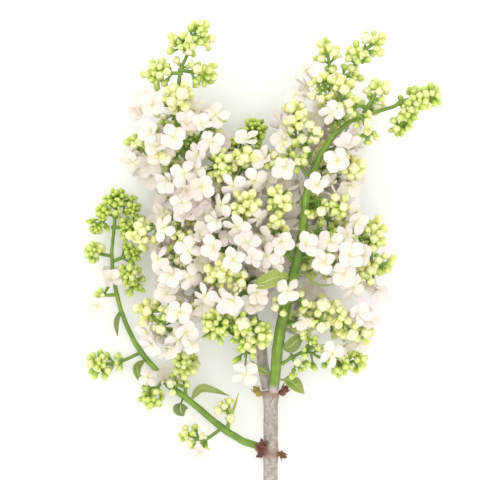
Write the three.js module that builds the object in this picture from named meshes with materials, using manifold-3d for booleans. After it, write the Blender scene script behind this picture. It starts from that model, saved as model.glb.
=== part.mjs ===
// A cut stem of white lilac, lying down: a woody stem, two panicles, a side branch, leaves and sprays.
// Millimetres, +Z up. The stem runs along +Y and the origin is on the surface under its foot.
import * as THREE from 'three';
import { mergeVertices } from 'three/addons/utils/BufferGeometryUtils.js';
import Module from 'manifold-3d';

const wasm = await Module();
wasm.setup();

const seatGap = 0.3; // between a piece and what carries it
const woodRadius = 3.65;
const woodSides = 10;
const footStart = -10; // the pruned end, along Y
const flatRunEnd = 10; // up to here the wood lies flat on the surface
const bendLength = 30; // over this much more it rises
const riseSlope = 0.28;
const woodX = 0.5;
const woodTop = 92;
const upAxis = new THREE.Vector3(0, 0, 1);
const goldenAngle = Math.PI * (3 - Math.sqrt(5));
const budShare = 0.29; // a bud's radius over its tuft's radius
const stalkRadius = 0.85;
const throatRadius = 1.1;
const floretRadius = 7; // from the throat to the tip of a petal
const petalCount = 4;
const petalHalfAngle = 0.4; // the two corners of a petal's end, either side of its middle
const notchReach = 0.42; // between two petals, as a share of the floret's radius
const notchLift = 0.05;
const leastCup = 0.02; // how far the petals rise, as a share of the radius
const cupRange = 0.24;
const throatDepth = 2.1;
const dimpleDepth = 0.4;
const coreSides = 4; // a stalk and a core have four sides, and each face of the core bears a bud
const fullTuft = 6.5; // from this radius up a tuft has two tiers of buds
const straightEnough = 0.75; // a stalk that arrives this close to its tuft's aim has no bend
const restDepth = 0.3; // how far a bud that rests is pressed flat
const nearlyParallel = 0.95; // past this the sideways direction is taken from +X

const colours = {
  bark: 0xc2b8ab,
  greenStem: 0x6f9a45,
  budScale: 0x8a5340,
  leaf: 0x8aa347,
  buds: 0xdbe597,
  petals: 0xf7f1e8,
};

const lilac = new THREE.Group();

function point(coordinates) {
  return new THREE.Vector3(...coordinates);
}

function addPiece(name, geometry, colour, roughness) {
  const material = new THREE.MeshStandardMaterial({ color: colour, roughness, metalness: 0 });
  const mesh = new THREE.Mesh(geometry, material);
  mesh.name = name;
  lilac.add(mesh);
}

// The same numbers on every run, between 0 and 1.
function drawFrom(seed) {
  let state = seed;
  return () => {
    state = (Math.imul(state, 1664525) + 1013904223) >>> 0;
    return state / 4294967296;
  };
}

// ---- closed bodies ----

function geometryOf(points, triangles) {
  const geometry = new THREE.BufferGeometry();
  const coordinates = points.flatMap((p) => [p.x, p.y, p.z]);
  geometry.setAttribute('position', new THREE.Float32BufferAttribute(coordinates, 3));
  geometry.setIndex(triangles.flat());
  return geometry;
}

// Rings run the same way round and are joined in order. An end is closed by a tip, or by a fan.
function loft(rings, startTip, endTip) {
  const sides = rings[0].length;
  const points = rings.flat();
  const triangles = [];
  for (let ring = 0; ring + 1 < rings.length; ring += 1) {
    for (let side = 0; side < sides; side += 1) {
      const here = ring * sides + side;
      const next = ring * sides + ((side + 1) % sides);
      triangles.push([here, next, here + sides], [next, next + sides, here + sides]);
    }
  }
  const last = (rings.length - 1) * sides;
  closeEnd(points, triangles, sides, 0, startTip, false);
  closeEnd(points, triangles, sides, last, endTip, true);
  return geometryOf(points, triangles);
}

function closeEnd(points, triangles, sides, first, tip, facesForward) {
  const flip = (triangle) => (facesForward ? triangle : triangle.reverse());
  if (tip) {
    points.push(tip);
    const apex = points.length - 1;
    for (let side = 0; side < sides; side += 1) {
      triangles.push(flip([first + side, first + ((side + 1) % sides), apex]));
    }
    return;
  }
  for (let side = 1; side + 1 < sides; side += 1) {
    triangles.push(flip([first, first + side, first + side + 1]));
  }
}

// Two directions square to the axis, the first as near level as it can be.
function crossAxes(axis, reference = upAxis) {
  const level = Math.abs(axis.dot(reference)) > nearlyParallel ? new THREE.Vector3(1, 0, 0) : reference;
  const across = new THREE.Vector3().crossVectors(axis, level).normalize();
  const raised = new THREE.Vector3().crossVectors(across, axis).normalize();
  return [across, raised];
}

function ringAt(centre, axis, radius, sides, turn = 0, reference = upAxis) {
  const [across, raised] = crossAxes(axis, reference);
  return Array.from({ length: sides }, (_, side) => {
    const angle = turn + (side * 2 * Math.PI) / sides;
    // turning from across to the lowered direction runs anticlockwise round the axis
    return centre
      .clone()
      .addScaledVector(across, radius * Math.cos(angle))
      .addScaledVector(raised, -radius * Math.sin(angle));
  });
}

// A tapering stem along a smooth curve, cut flat at both ends.
function stemBody(curve, radii, segments, sides, footAxis) {
  const rings = [];
  for (let step = 0; step <= segments; step += 1) {
    const share = step / segments;
    const axis = step === 0 && footAxis ? footAxis : curve.getTangentAt(share);
    rings.push(ringAt(curve.getPointAt(share), axis, radiusAt(radii, share), sides));
  }
  return loft(rings, null, null);
}

function radiusAt(radii, share) {
  const place = share * (radii.length - 1);
  const index = Math.min(Math.floor(place), radii.length - 2);
  return THREE.MathUtils.lerp(radii[index], radii[index + 1], place - index);
}

function solidOf(geometry) {
  const bare = geometry.clone();
  bare.deleteAttribute('normal');
  bare.deleteAttribute('uv');
  const merged = mergeVertices(bare, 1e-5);
  const mesh = new wasm.Mesh({
    numProp: 3,
    vertProperties: Float32Array.from(merged.attributes.position.array),
    triVerts: Uint32Array.from(merged.index.array),
  });
  return new wasm.Manifold(mesh);
}

// Joins the bodies, keeps what holds together with the first, and trims it at the surface.
function fuse(geometries) {
  const joined = wasm.Manifold.union(geometries.map(solidOf)).trimByPlane([0, 0, 1], 0);
  const bodies = joined.decompose();
  const largest = bodies.reduce((a, b) => (a.volume() > b.volume() ? a : b));
  const mesh = largest.getMesh();
  const geometry = new THREE.BufferGeometry();
  geometry.setAttribute('position', new THREE.BufferAttribute(mesh.vertProperties, 3));
  geometry.setIndex(new THREE.BufferAttribute(mesh.triVerts, 1));
  return geometry;
}

// ---- room taken: every stem, stalk, bud and petal as capsules ----

const taken = [];

function take(owner, capsules) {
  capsules.forEach((capsule) => taken.push({ ...capsule, owner }));
}

function segmentDistance(p, q) {
  const alongP = p.end.clone().sub(p.start);
  const alongQ = q.end.clone().sub(q.start);
  const between = p.start.clone().sub(q.start);
  const pp = Math.max(alongP.dot(alongP), 1e-9);
  const qq = Math.max(alongQ.dot(alongQ), 1e-9);
  const pq = alongP.dot(alongQ);
  const pb = alongP.dot(between);
  const qb = alongQ.dot(between);
  const spread = pp * qq - pq * pq;
  const clamp = (value) => Math.min(Math.max(value, 0), 1);
  let shareP = spread > 1e-9 ? clamp((pq * qb - pb * qq) / spread) : 0;
  const shareQ = clamp((pq * shareP + qb) / qq);
  shareP = clamp((pq * shareQ - pb) / pp);
  const nearP = p.start.clone().addScaledVector(alongP, shareP);
  return nearP.distanceTo(q.start.clone().addScaledVector(alongQ, shareQ));
}

// Clear of everything else by the gap; pieces of one spray may sink a little into each other.
function hasRoom(owner, capsules, ownOverlap) {
  return capsules.every((capsule) =>
    taken.every((other) => {
      if (other.owner === owner && other.root) return true;
      const gap = other.owner === owner ? -ownOverlap : seatGap;
      return segmentDistance(capsule, other) >= capsule.radius + other.radius + gap;
    }),
  );
}

// ---- stems ----

function woodHeight(y) {
  const flatHeight = woodRadius * Math.cos(Math.PI / woodSides);
  const past = Math.max(y - flatRunEnd, 0);
  if (past < bendLength) return flatHeight + (riseSlope * past * past) / (2 * bendLength);
  return flatHeight + riseSlope * (past - bendLength / 2);
}

function woodAxis(y) {
  const past = Math.min(Math.max(y - flatRunEnd, 0), bendLength);
  return new THREE.Vector3(0, 1, (riseSlope * past) / bendLength).normalize();
}

function woodPoint(y) {
  return new THREE.Vector3(woodX, y, woodHeight(y));
}

// The wood swells by a share of its radius at each node.
const woodNodes = [{ y: 62, share: 0.14 }, { y: 91, share: 0.25 }];
const nodeLength = 4;
const woodStations = [footStart, flatRunEnd, 22, 36, 55, 60, 64, 70, 84, 88, woodTop];

function woodRadiusAt(y) {
  const swell = ({ y: node, share }) => share * Math.exp(-(((y - node) / nodeLength) ** 2));
  return woodRadius * woodNodes.reduce((sum, node) => sum + swell(node), 1);
}

const halfFacet = Math.PI / 2 - Math.PI / woodSides; // turns one facet of the prism to face down
const woodRings = woodStations.map((y) =>
  ringAt(woodPoint(y), woodAxis(y), woodRadiusAt(y), woodSides, halfFacet),
);
addPiece('woody_stem', loft(woodRings, null, null), colours.bark, 0.85);
for (let index = 0; index + 1 < woodStations.length; index += 1) {
  const [low, high] = [woodStations[index], woodStations[index + 1]];
  const radius = Math.max(woodRadiusAt(low), woodRadiusAt(high));
  take('woody_stem', [{ start: woodPoint(low), end: woodPoint(high), radius }]);
}

// A shoot's first ring lies in the plane of the cut wood, one gap above it.
const shootFoot = woodPoint(woodTop).addScaledVector(woodAxis(woodTop), seatGap);

const stemPlans = {
  right_panicle_stem: {
    foot: [1.3, 0, 2.1], // from the middle of the wood's end
    route: [
      [3.2, 104, 29], [4.2, 117, 35], [7, 131, 41], [10.9, 147, 47], [12.9, 155, 50], [16.5, 174, 54],
      [17.5, 188, 55], [20.5, 200, 55], [24.8, 210, 53], [32.5, 221.5, 50], [40, 227, 48],
      [51.5, 231.5, 46], [61.5, 234.5, 44],
    ],
    radii: [2.9, 2.9, 2.8, 2.6, 2.4, 2.1, 1.6, 1.2, 1.0],
    segments: 18,
    sides: 6,
    footAxis: woodAxis(woodTop),
  },
  left_panicle_stem: {
    foot: [-1.6, 0, -2.3],
    route: [
      [-3.2, 104, 20.5], [-4.2, 114, 22], [-14, 145, 27], [-30, 180, 31], [-43, 212, 34],
      [-47, 229, 36], [-45.4, 248, 37.8],
    ],
    radii: [2.3, 2.3, 2.2, 2, 1.8, 1.5, 1.2, 1.0],
    segments: 15,
    sides: 6,
    footAxis: woodAxis(woodTop),
  },
  side_branch: {
    route: [
      [-4.6, 63.2, 14.6], [-15.5, 67, 13.5], [-24, 72.7, 12.5], [-41.2, 87, 10.5], [-51.8, 94.7, 9.5],
      [-58.5, 103.3, 9], [-66.2, 112, 9], [-71, 121.5, 9], [-74.8, 130, 9.5], [-79.5, 151, 10.5],
      [-80, 165.5, 11], [-79.2, 171, 11],
    ],
    radii: [2.2, 2.1, 1.9, 1.8, 1.6, 1.3, 1.1, 0.9],
    segments: 18,
    sides: 5,
  },
};

const stems = {};
const roomSteps = 40; // capsules along each stem

Object.entries(stemPlans).forEach(([name, plan]) => {
  const route = plan.route.map(point);
  if (plan.foot) {
    const slope = woodAxis(woodTop).z / woodAxis(woodTop).y;
    const foot = shootFoot.clone().add(point(plan.foot));
    foot.y -= plan.foot[2] * slope;
    route.unshift(foot);
  }
  const curve = new THREE.CatmullRomCurve3(route, false, 'centripetal');
  stems[name] = { curve, radii: plan.radii };
  addPiece(name, stemBody(curve, plan.radii, plan.segments, plan.sides, plan.footAxis),
    colours.greenStem, 0.6);
  const points = curve.getSpacedPoints(roomSteps);
  for (let index = 0; index < roomSteps; index += 1) {
    const radius = radiusAt(plan.radii, index / roomSteps);
    take(name, [{ start: points[index], end: points[index + 1], radius }]);
  }
});

const nearestSteps = 200;

// The place on a stem nearest to a point, and the stem's radius there.
function nearestOn(stem, target) {
  let best = { distance: Infinity };
  for (let step = 0; step <= nearestSteps; step += 1) {
    const share = step / nearestSteps;
    const place = stem.curve.getPointAt(share);
    const distance = place.distanceTo(target);
    if (distance < best.distance) best = { distance, place, radius: radiusAt(stem.radii, share) };
  }
  return best;
}

const reachStep = 0.15;
const longestReach = 12;

// Where a stalk leaves its stem: the gap stays free between the stem and the stalk's flat foot.
function stalkFoot(stem, root, toward) {
  const near = nearestOn(stem, root);
  const out = toward.clone().sub(near.place).normalize();
  let reach = near.radius;
  let foot = near.place.clone().addScaledVector(out, reach);
  const isFree = () =>
    ringAt(foot, out, stalkRadius, coreSides, 0, crossAxes(out)[1]).every((corner) => {
      const base = nearestOn(stem, corner);
      return corner.distanceTo(base.place) > base.radius + seatGap;
    });
  while (!isFree() && reach < longestReach) {
    reach += reachStep;
    foot = near.place.clone().addScaledVector(out, reach);
  }
  return foot;
}

// ---- bud scales at the nodes of the wood ----

// Place along a scale, and its breadth there as a share of its radius.
const scaleRings = [[0, 0.6], [0.4, 1], [0.8, 0.55]];
const scaleSides = 5;

// A pointed scale or bud: foot, widest ring and tip, all along one line.
function scaleBody(foot, tip, radius) {
  const axis = tip.clone().sub(foot).normalize();
  const rings = scaleRings.map(([share, breadth]) =>
    ringAt(foot.clone().lerp(tip, share), axis, radius * breadth, scaleSides),
  );
  return loft(rings, null, tip);
}

const scalePlans = {
  upper_bud_right: [[[5.6, 90, 22], [9.4, 94.5, 23], 1.7]],
  upper_bud_left: [[[-4.7, 89.5, 21.5], [-8, 94, 22.5], 1.5]],
  lower_bud_right: [[[4.9, 60.5, 14.5], [8.2, 57.6, 14.5], 1.4]],
  lower_bud_scales: [
    [[-2.5, 61.5, 18.05], [-6.8, 64.2, 19.4], 1.5],
    [[-2.1, 61.7, 18.45], [-4, 67, 20.8], 1.5],
    [[-2.5, 60.9, 18.05], [-6.6, 58.6, 18.2], 1.4],
  ],
};

Object.entries(scalePlans).forEach(([name, scales]) => {
  const bodies = scales.map(([foot, tip, radius]) => scaleBody(point(foot), point(tip), radius));
  addPiece(name, fuse(bodies), colours.budScale, 0.7);
  take(name, scales.map(([foot, tip, radius]) => ({ start: point(foot), end: point(tip), radius })));
});

// ---- leaves and bracts ----

const bladeThickness = 0.8;
const bladeSteps = 5;
const leastHalfWidth = 0.45;
const usualLean = 0.75; // below 1 the broadest place lies past the middle
const usualFold = 0.3; // how far the edges rise over half the width

// Half the width along a leaf, from its stalk to its tip; the broadest place moves with the shape.
function bladeProfile(share, shape) {
  const leafStart = shape.stalk ?? 0;
  if (share <= leafStart) return leastHalfWidth;
  const along = (share - leafStart) / (1 - leafStart);
  const swell = Math.sin(Math.PI * along ** (shape.lean ?? usualLean));
  return Math.max((shape.width / 2) * swell, leastHalfWidth);
}

// The line of a leaf; its first point is moved to one gap outside the stem that carries it.
function leafCurve(shape) {
  const [root, ...rest] = shape.route.map(point);
  const foot = stalkFoot(stems[shape.stem], root, rest[0]);
  return new THREE.CatmullRomCurve3([foot, ...rest], false, 'centripetal');
}

// A folded blade: three points across its top face and three below, split alike on both faces.
function leafBody(curve, shape) {
  const face = point(shape.face).normalize();
  const rings = [];
  for (let step = 0; step <= bladeSteps; step += 1) {
    const share = step / bladeSteps;
    const centre = curve.getPointAt(share);
    const axis = curve.getTangentAt(share);
    const across = new THREE.Vector3().crossVectors(axis, face).normalize();
    const above = new THREE.Vector3().crossVectors(across, axis).normalize();
    const half = bladeProfile(share, shape);
    const lift = half * (shape.fold ?? usualFold);
    const at = (side, up) =>
      centre.clone().addScaledVector(across, side).addScaledVector(above, up);
    rings.push([
      at(half, lift + bladeThickness / 2), at(half, lift - bladeThickness / 2),
      at(0, -bladeThickness / 2), at(-half, lift - bladeThickness / 2),
      at(-half, lift + bladeThickness / 2), at(0, bladeThickness / 2),
    ]);
  }
  return loft(rings, null, null);
}

const leafPlans = {
  upper_leaf_right: { stem: 'right_panicle_stem', face: [0.2, 0.3, 1], width: 7.5, stalk: 0.12,
    route: [[3, 98, 27], [10, 97, 27], [14, 94, 28], [17.5, 90.5, 26.5]] },
  upper_leaf_slim: { stem: 'right_panicle_stem', face: [0.2, 0.2, 1], width: 3.4,
    route: [[2, 99.5, 27], [-5, 103, 28], [-9.7, 107.5, 28.5]] },
  olive_leaf: { stem: 'right_panicle_stem', face: [0, -0.2, 1], width: 7.5,
    route: [[4, 112, 33], [10.5, 115, 37.5], [14, 118.5, 38], [17.8, 120.5, 36]] },
  broad_bract: { stem: 'right_panicle_stem', face: [0, -0.1, 1], width: 9, lean: 0.85,
    route: [[11.5, 150, 48], [3, 149.5, 53], [-3.5, 147, 54], [-10, 144, 51.5]] },
  curled_bract: { stem: 'right_panicle_stem', face: [0.1, 0.4, 1], width: 3,
    route: [[12, 152, 49], [19.5, 148.3, 57], [26, 145, 58], [32.5, 146.5, 55.5]] },
  pointed_leaf: { stem: 'side_branch', face: [0, -0.2, 1], width: 4.6,
    route: [[-40.5, 86.5, 10.5], [-35, 93, 17], [-29, 92.4, 18.5], [-20, 89, 16]] },
  round_leaf: { stem: 'side_branch', face: [0, 0, 1], width: 8, stalk: 0.25,
    route: [[-43.5, 89, 10.3], [-45, 84.5, 13.6], [-45, 81.5, 14.2], [-43.4, 78.8, 14]] },
  long_leaf: { stem: 'side_branch', face: [0.2, 0, 1], width: 4.4,
    route: [[-62.5, 107.5, 9], [-67.3, 103.5, 14], [-66, 98.5, 15], [-63.6, 94, 12.5]] },
};

const leafRoomSteps = 6;

Object.entries(leafPlans).forEach(([name, shape]) => {
  const curve = leafCurve(shape);
  addPiece(name, leafBody(curve, shape), colours.leaf, 0.55);
  const points = curve.getSpacedPoints(leafRoomSteps);
  for (let index = 0; index < leafRoomSteps; index += 1) {
    const radius = 0.6 * bladeProfile((index + 0.5) / leafRoomSteps, shape) + 0.6;
    take(name, [{ start: points[index], end: points[index + 1], radius }]);
  }
});

// ---- sprays ----

// The room of a bud: its body, and the foot by which it stands on its core.
function budRoom(foot, direction, tip, radius) {
  const low = tip.clone().addScaledVector(direction, -1.45 * radius);
  const high = tip.clone().addScaledVector(direction, -0.9 * radius);
  return [
    { start: low, end: high, radius },
    { start: foot, end: low, radius: 0.6 * radius, root: true },
  ];
}

// The rim of a floret: at each petal a notch, a shoulder, and a second shoulder.
function rimPoints(floret) {
  const [across, raised] = crossAxes(floret.axis, floret.reference);
  const rim = [];
  for (let petal = 0; petal < petalCount; petal += 1) {
    const middle = floret.turn + (petal * 2 * Math.PI) / petalCount;
    const corners = [
      { angle: middle - Math.PI / petalCount, reach: notchReach, lift: notchLift },
      { angle: middle - petalHalfAngle, reach: 1, lift: floret.cup },
      { angle: middle + petalHalfAngle, reach: 1, lift: floret.cup },
    ];
    corners.forEach(({ angle, reach, lift }) => {
      rim.push(
        floret.centre
          .clone()
          .addScaledVector(across, floret.radius * reach * Math.cos(angle))
          .addScaledVector(raised, -floret.radius * reach * Math.sin(angle))
          .addScaledVector(floret.axis, floret.radius * lift),
      );
    });
  }
  return rim;
}

// A trumpet raised from one face of a core: its tube, the throat, and the rim with a dimple.
function raisedFloret(points, corners, floret) {
  const throat = floret.centre.clone().addScaledVector(floret.axis, -throatDepth);
  const ring = ringAt(throat, floret.axis, throatRadius, petalCount, floret.turn, floret.reference);
  const shift = leastTwist(corners.map((corner) => points[corner]), ring);
  const rimStart = points.length;
  const ringStart = rimStart + 3 * petalCount;
  const dimple = ringStart + petalCount;
  points.push(...rimPoints(floret), ...ring);
  points.push(floret.centre.clone().addScaledVector(floret.axis, -dimpleDepth));
  const triangles = [];
  for (let petal = 0; petal < petalCount; petal += 1) {
    const after = (petal + 1) % petalCount;
    const [notch, left, right] = [0, 1, 2].map((corner) => rimStart + petal * 3 + corner);
    const nextNotch = rimStart + after * 3;
    const [foot, nextFoot] = [ringStart + petal, ringStart + after];
    const [face, nextFace] = [petal, after].map((index) => corners[(index + shift) % petalCount]);
    triangles.push([dimple, notch, left], [dimple, left, right], [dimple, right, nextNotch]);
    triangles.push([foot, left, notch], [foot, right, left], [foot, nextNotch, right]);
    triangles.push([foot, nextFoot, nextNotch]);
    triangles.push([face, nextFace, foot], [nextFace, nextFoot, foot]);
  }
  return triangles;
}

// How many places a ring's corners are turned on, so that the tube between two rings twists least.
function leastTwist(corners, ring) {
  const length = (shift) =>
    ring.reduce((sum, place, index) => sum + place.distanceTo(corners[(index + shift) % ring.length]), 0);
  return [0, 1, 2, 3].reduce((a, b) => (length(b) < length(a) ? b : a));
}

function floretRoom(floret) {
  const rim = rimPoints(floret);
  const under = floret.centre.clone().addScaledVector(floret.axis, -0.6);
  const room = [{ start: floret.root, end: under, radius: 1, root: true }];
  for (let petal = 0; petal < petalCount; petal += 1) {
    const [left, right] = [rim[petal * 3 + 1], rim[petal * 3 + 2]];
    room.push({ start: under, end: left.clone().lerp(right, 0.5), radius: 0.7 });
    room.push({ start: under.clone().lerp(left, 0.4), end: left, radius: 0.35 });
    room.push({ start: under.clone().lerp(right, 0.4), end: right, radius: 0.35 });
    room.push({ start: left, end: right, radius: 0.3 });
  }
  return room;
}

function aboveSurface(capsules, depth = 0) {
  return capsules.every(({ start, end, radius }) => Math.min(start.z, end.z) - radius >= -depth);
}

// The rings of a stalk that follows a route and swells to the core of its tuft.
function stalkRings(route, tuft, aim) {
  const centre = route[route.length - 1];
  const bend = centre.clone().addScaledVector(aim, -0.75 * tuft.radius);
  const arrival = centre.clone().sub(route[route.length - 2]).normalize();
  const path = route.slice(0, -1);
  if (arrival.dot(aim) < straightEnough) path.push(bend);
  const overall = centre.clone().sub(route[0]).normalize();
  const reference = crossAxes(overall)[1];
  const rings = path.map((place, index) => {
    const before = path[Math.max(index - 1, 0)];
    const after = path[index + 1] ?? centre;
    return ringAt(place, after.clone().sub(before).normalize(), stalkRadius, coreSides, 0,
      reference);
  });
  coreRings(tuft).forEach(([height, radius]) => {
    const place = centre.clone().addScaledVector(aim, height * tuft.radius);
    rings.push(ringAt(place, aim, radius * tuft.radius, coreSides, 0, reference));
  });
  return rings;
}

// Height along the aim and radius of each ring of a core, as shares of the tuft's radius.
function coreRings(tuft) {
  if (tuft.radius >= fullTuft) return [[-0.36, 0.24], [-0.02, 0.38], [0.26, 0.24]];
  return [[-0.28, 0.28], [0.2, 0.28]];
}

// Joins a ring to the next by plain faces, where no bud stands.
function plainFace(corners) {
  const [first, second, third, ...rest] = corners;
  const faces = [[first, second, third]];
  rest.forEach((corner, index) => faces.push([first, corners[index + 2], corner]));
  return faces;
}

// A bud raised from one face of a core: its widest ring, then its tip. Corners run anticlockwise.
function raisedBud(points, corners, { direction, tip, radius }) {
  const widest = tip.clone().addScaledVector(direction, -1.2 * radius);
  const middle = middleOf(points, corners);
  const first = points.length;
  corners.forEach((corner) => {
    const out = points[corner].clone().sub(middle);
    out.addScaledVector(direction, -out.dot(direction)).normalize();
    points.push(widest.clone().addScaledVector(out, 1.15 * radius));
  });
  points.push(tip);
  const apex = first + corners.length;
  return corners.flatMap((corner, index) => {
    const next = (index + 1) % corners.length;
    return [
      [corner, corners[next], first + index],
      [corners[next], first + next, first + index],
      [first + index, first + next, apex],
    ];
  });
}

function middleOf(points, corners) {
  const sum = corners.reduce((total, corner) => total.add(points[corner]), new THREE.Vector3());
  return sum.divideScalar(corners.length);
}

// The stalk and core of a tuft: its points, its plain triangles, and the faces of its core.
function tuftFrame(route, tuft, aim) {
  const rings = stalkRings(route, tuft, aim);
  const points = rings.flat();
  const triangles = [];
  closeEnd(points, triangles, coreSides, 0, null, false);
  const centre = route[route.length - 1];
  const coreStart = rings.length - coreRings(tuft).length;
  const faces = [];
  const addFace = (corners) => {
    const middle = middleOf(points, corners);
    faces.push({ corners, middle, direction: middle.clone().sub(centre).normalize() });
  };
  for (let ring = 0; ring + 1 < rings.length; ring += 1) {
    for (let side = 0; side < coreSides; side += 1) {
      const here = ring * coreSides + side;
      const next = ring * coreSides + ((side + 1) % coreSides);
      const corners = [here, next, next + coreSides, here + coreSides];
      if (ring < coreStart) triangles.push(...plainFace(corners));
      else addFace(corners);
    }
  }
  addFace(Array.from({ length: coreSides }, (_, side) => (rings.length - 1) * coreSides + side));
  return { points, triangles, faces, centre };
}

// The free face of a core that looks most nearly towards a place.
function faceToward(frame, place, limit) {
  const toward = place.clone().sub(frame.centre).normalize();
  const free = frame.faces.filter((face) => !face.floret && !face.blocked);
  const best = free.sort((a, b) => b.direction.dot(toward) - a.direction.dot(toward))[0];
  return best && best.direction.dot(toward) > limit ? best : null;
}

// Closes every face of the core: with its floret, with a bud where there is room, or plainly.
function tuftBody(owner, frame, tuft, draw) {
  const triangles = [...frame.triangles];
  frame.faces.forEach((face) => {
    const bud = budOn(owner, frame, face, tuft, draw);
    if (face.floret) {
      triangles.push(...raisedFloret(frame.points, face.corners, face.floret));
    } else if (bud) {
      triangles.push(...raisedBud(frame.points, face.corners, bud));
    } else {
      triangles.push(...plainFace(face.corners));
    }
  });
  return geometryOf(frame.points, triangles);
}

function budOn(owner, frame, face, tuft, draw) {
  const stray = new THREE.Vector3(draw() - 0.5, draw() - 0.5, draw() - 0.5);
  const reach = tuft.radius * (0.95 + 0.1 * draw());
  if (face.floret || face.blocked || tuft.bare) return null;
  const direction = face.direction.clone().addScaledVector(stray, 0.2).normalize();
  const restsHere = tuft.rests && face.direction.z < -0.7;
  if (restsHere) direction.set(0, 0, -1);
  const length = restsHere ? frame.centre.z + restDepth : reach;
  const tip = frame.centre.clone().addScaledVector(direction, length);
  const radius = budShare * tuft.radius;
  const room = budRoom(face.middle, direction, tip, radius);
  const mayCross = restsHere ? radius : 0;
  if (!aboveSurface(room, mayCross) || !hasRoom(owner, room, 0.5 * radius)) return null;
  take(owner, room);
  return { direction, tip, radius };
}

function domeDirections(aim, count, spread, draw) {
  const [across, raised] = crossAxes(aim);
  const start = draw() * 2 * Math.PI;
  return Array.from({ length: count }, (_, index) => {
    const height = 1 - ((index + 0.35) / count) * (1 - Math.cos(spread));
    const level = Math.sqrt(Math.max(1 - height * height, 0));
    const angle = start + index * goldenAngle;
    return aim
      .clone()
      .multiplyScalar(height)
      .addScaledVector(across, level * Math.cos(angle))
      .addScaledVector(raised, level * Math.sin(angle));
  });
}

const headReach = 12; // from the middle of a head to its florets
const headSpread = 1.2; // the angle from the aim to the outermost of them
const forkReach = 2.5; // how far up its stalk a spray first forks

function ringFlorets(tuft, aim, draw) {
  const directions = domeDirections(aim, tuft.florets ?? 0, headSpread, draw);
  return directions.map((direction) =>
    point(tuft.at).addScaledVector(direction, headReach).toArray(),
  );
}

const floretTries = 14;

// Tries the wanted place first, then places near it, and gives up when none has room.
function placeFloret(owner, wanted, frames, draw) {
  const target = point(wanted);
  const distance = (frame) => frame.centre.distanceTo(target);
  const frame = frames.reduce((a, b) => (distance(a) < distance(b) ? a : b));
  const face = faceToward(frame, target, 0.2);
  const jitter = () => (draw() - 0.5) * 2;
  let found = null;
  for (let attempt = 0; attempt < floretTries; attempt += 1) {
    const shift = new THREE.Vector3(jitter(), jitter(), jitter()).multiplyScalar(attempt * 0.28);
    const tilt = new THREE.Vector3(jitter(), jitter(), jitter()).multiplyScalar(0.12 + 0.04 * attempt);
    const turn = (draw() * Math.PI) / 2;
    const cup = leastCup + cupRange * draw();
    const radius = (wanted[3] ?? floretRadius) * (1 - 0.018 * attempt);
    const centre = target.clone().add(shift);
    const axis = centre.clone().sub(frame.centre).normalize().add(tilt).normalize();
    if (face && !found) {
      const floret = { centre, axis, turn, cup, radius, reference: crossAxes(axis)[1], root: face.middle };
      const room = floretRoom(floret);
      if (aboveSurface(room) && hasRoom(owner, room, 0.5)) found = { floret, room };
    }
  }
  if (!found) return;
  face.floret = found.floret;
  take(owner, found.room);
}

// The first stalk starts at the stem, and the others where an earlier one forks or ends.
function tuftRoutes(name, plan) {
  const forks = [];
  return plan.tufts.map((tuft) => {
    const centre = point(tuft.at);
    const via = (tuft.via ?? []).map(point);
    const toward = via[0] ?? centre;
    const isFirst = forks.length === 0;
    const start = isFirst ? stalkFoot(stems[plan.stem], point(plan.root), toward)
      : forks.reduce((a, b) => (a.distanceTo(toward) < b.distanceTo(toward) ? a : b)).clone();
    if (isFirst) forks.push(start.clone().lerp(toward, forkReach / start.distanceTo(toward)));
    forks.push(...via, centre);
    const route = [start, ...via, centre];
    const arrival = centre.clone().sub(route[route.length - 2]);
    const aim = (tuft.aim ? point(tuft.aim) : arrival).normalize();
    const stalk = route.slice(1).map((end, step) => (
      { start: route[step], end, radius: stalkRadius, root: true }));
    const core = { start: centre, end: centre, radius: 0.3 * tuft.radius, root: true };
    take(name, [...stalk, core]);
    return { tuft, aim, route };
  });
}

function growSpray(name, plan) {
  const draw = drawFrom(plan.seed);
  const routes = tuftRoutes(name, plan);
  const frames = routes.map(({ tuft, aim, route }) => tuftFrame(route, tuft, aim));
  routes.forEach(({ route }) => {
    const carrier = frames.find((frame) => frame.centre.distanceTo(route[0]) < 1e-6);
    const face = carrier && faceToward(carrier, route[1], 0.5);
    if (face) face.blocked = true;
  });
  const ringed = routes.flatMap(({ tuft, aim }) => ringFlorets(tuft, aim, draw));
  [...(plan.florets ?? []), ...ringed].forEach((wanted) => placeFloret(name, wanted, frames, draw));
  const bodies = routes.map(({ tuft }, index) => tuftBody(name, frames[index], tuft, draw));
  addPiece(name, fuse(bodies), whiteSprays.has(name) ? colours.petals : colours.buds, 0.55);
}

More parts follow.
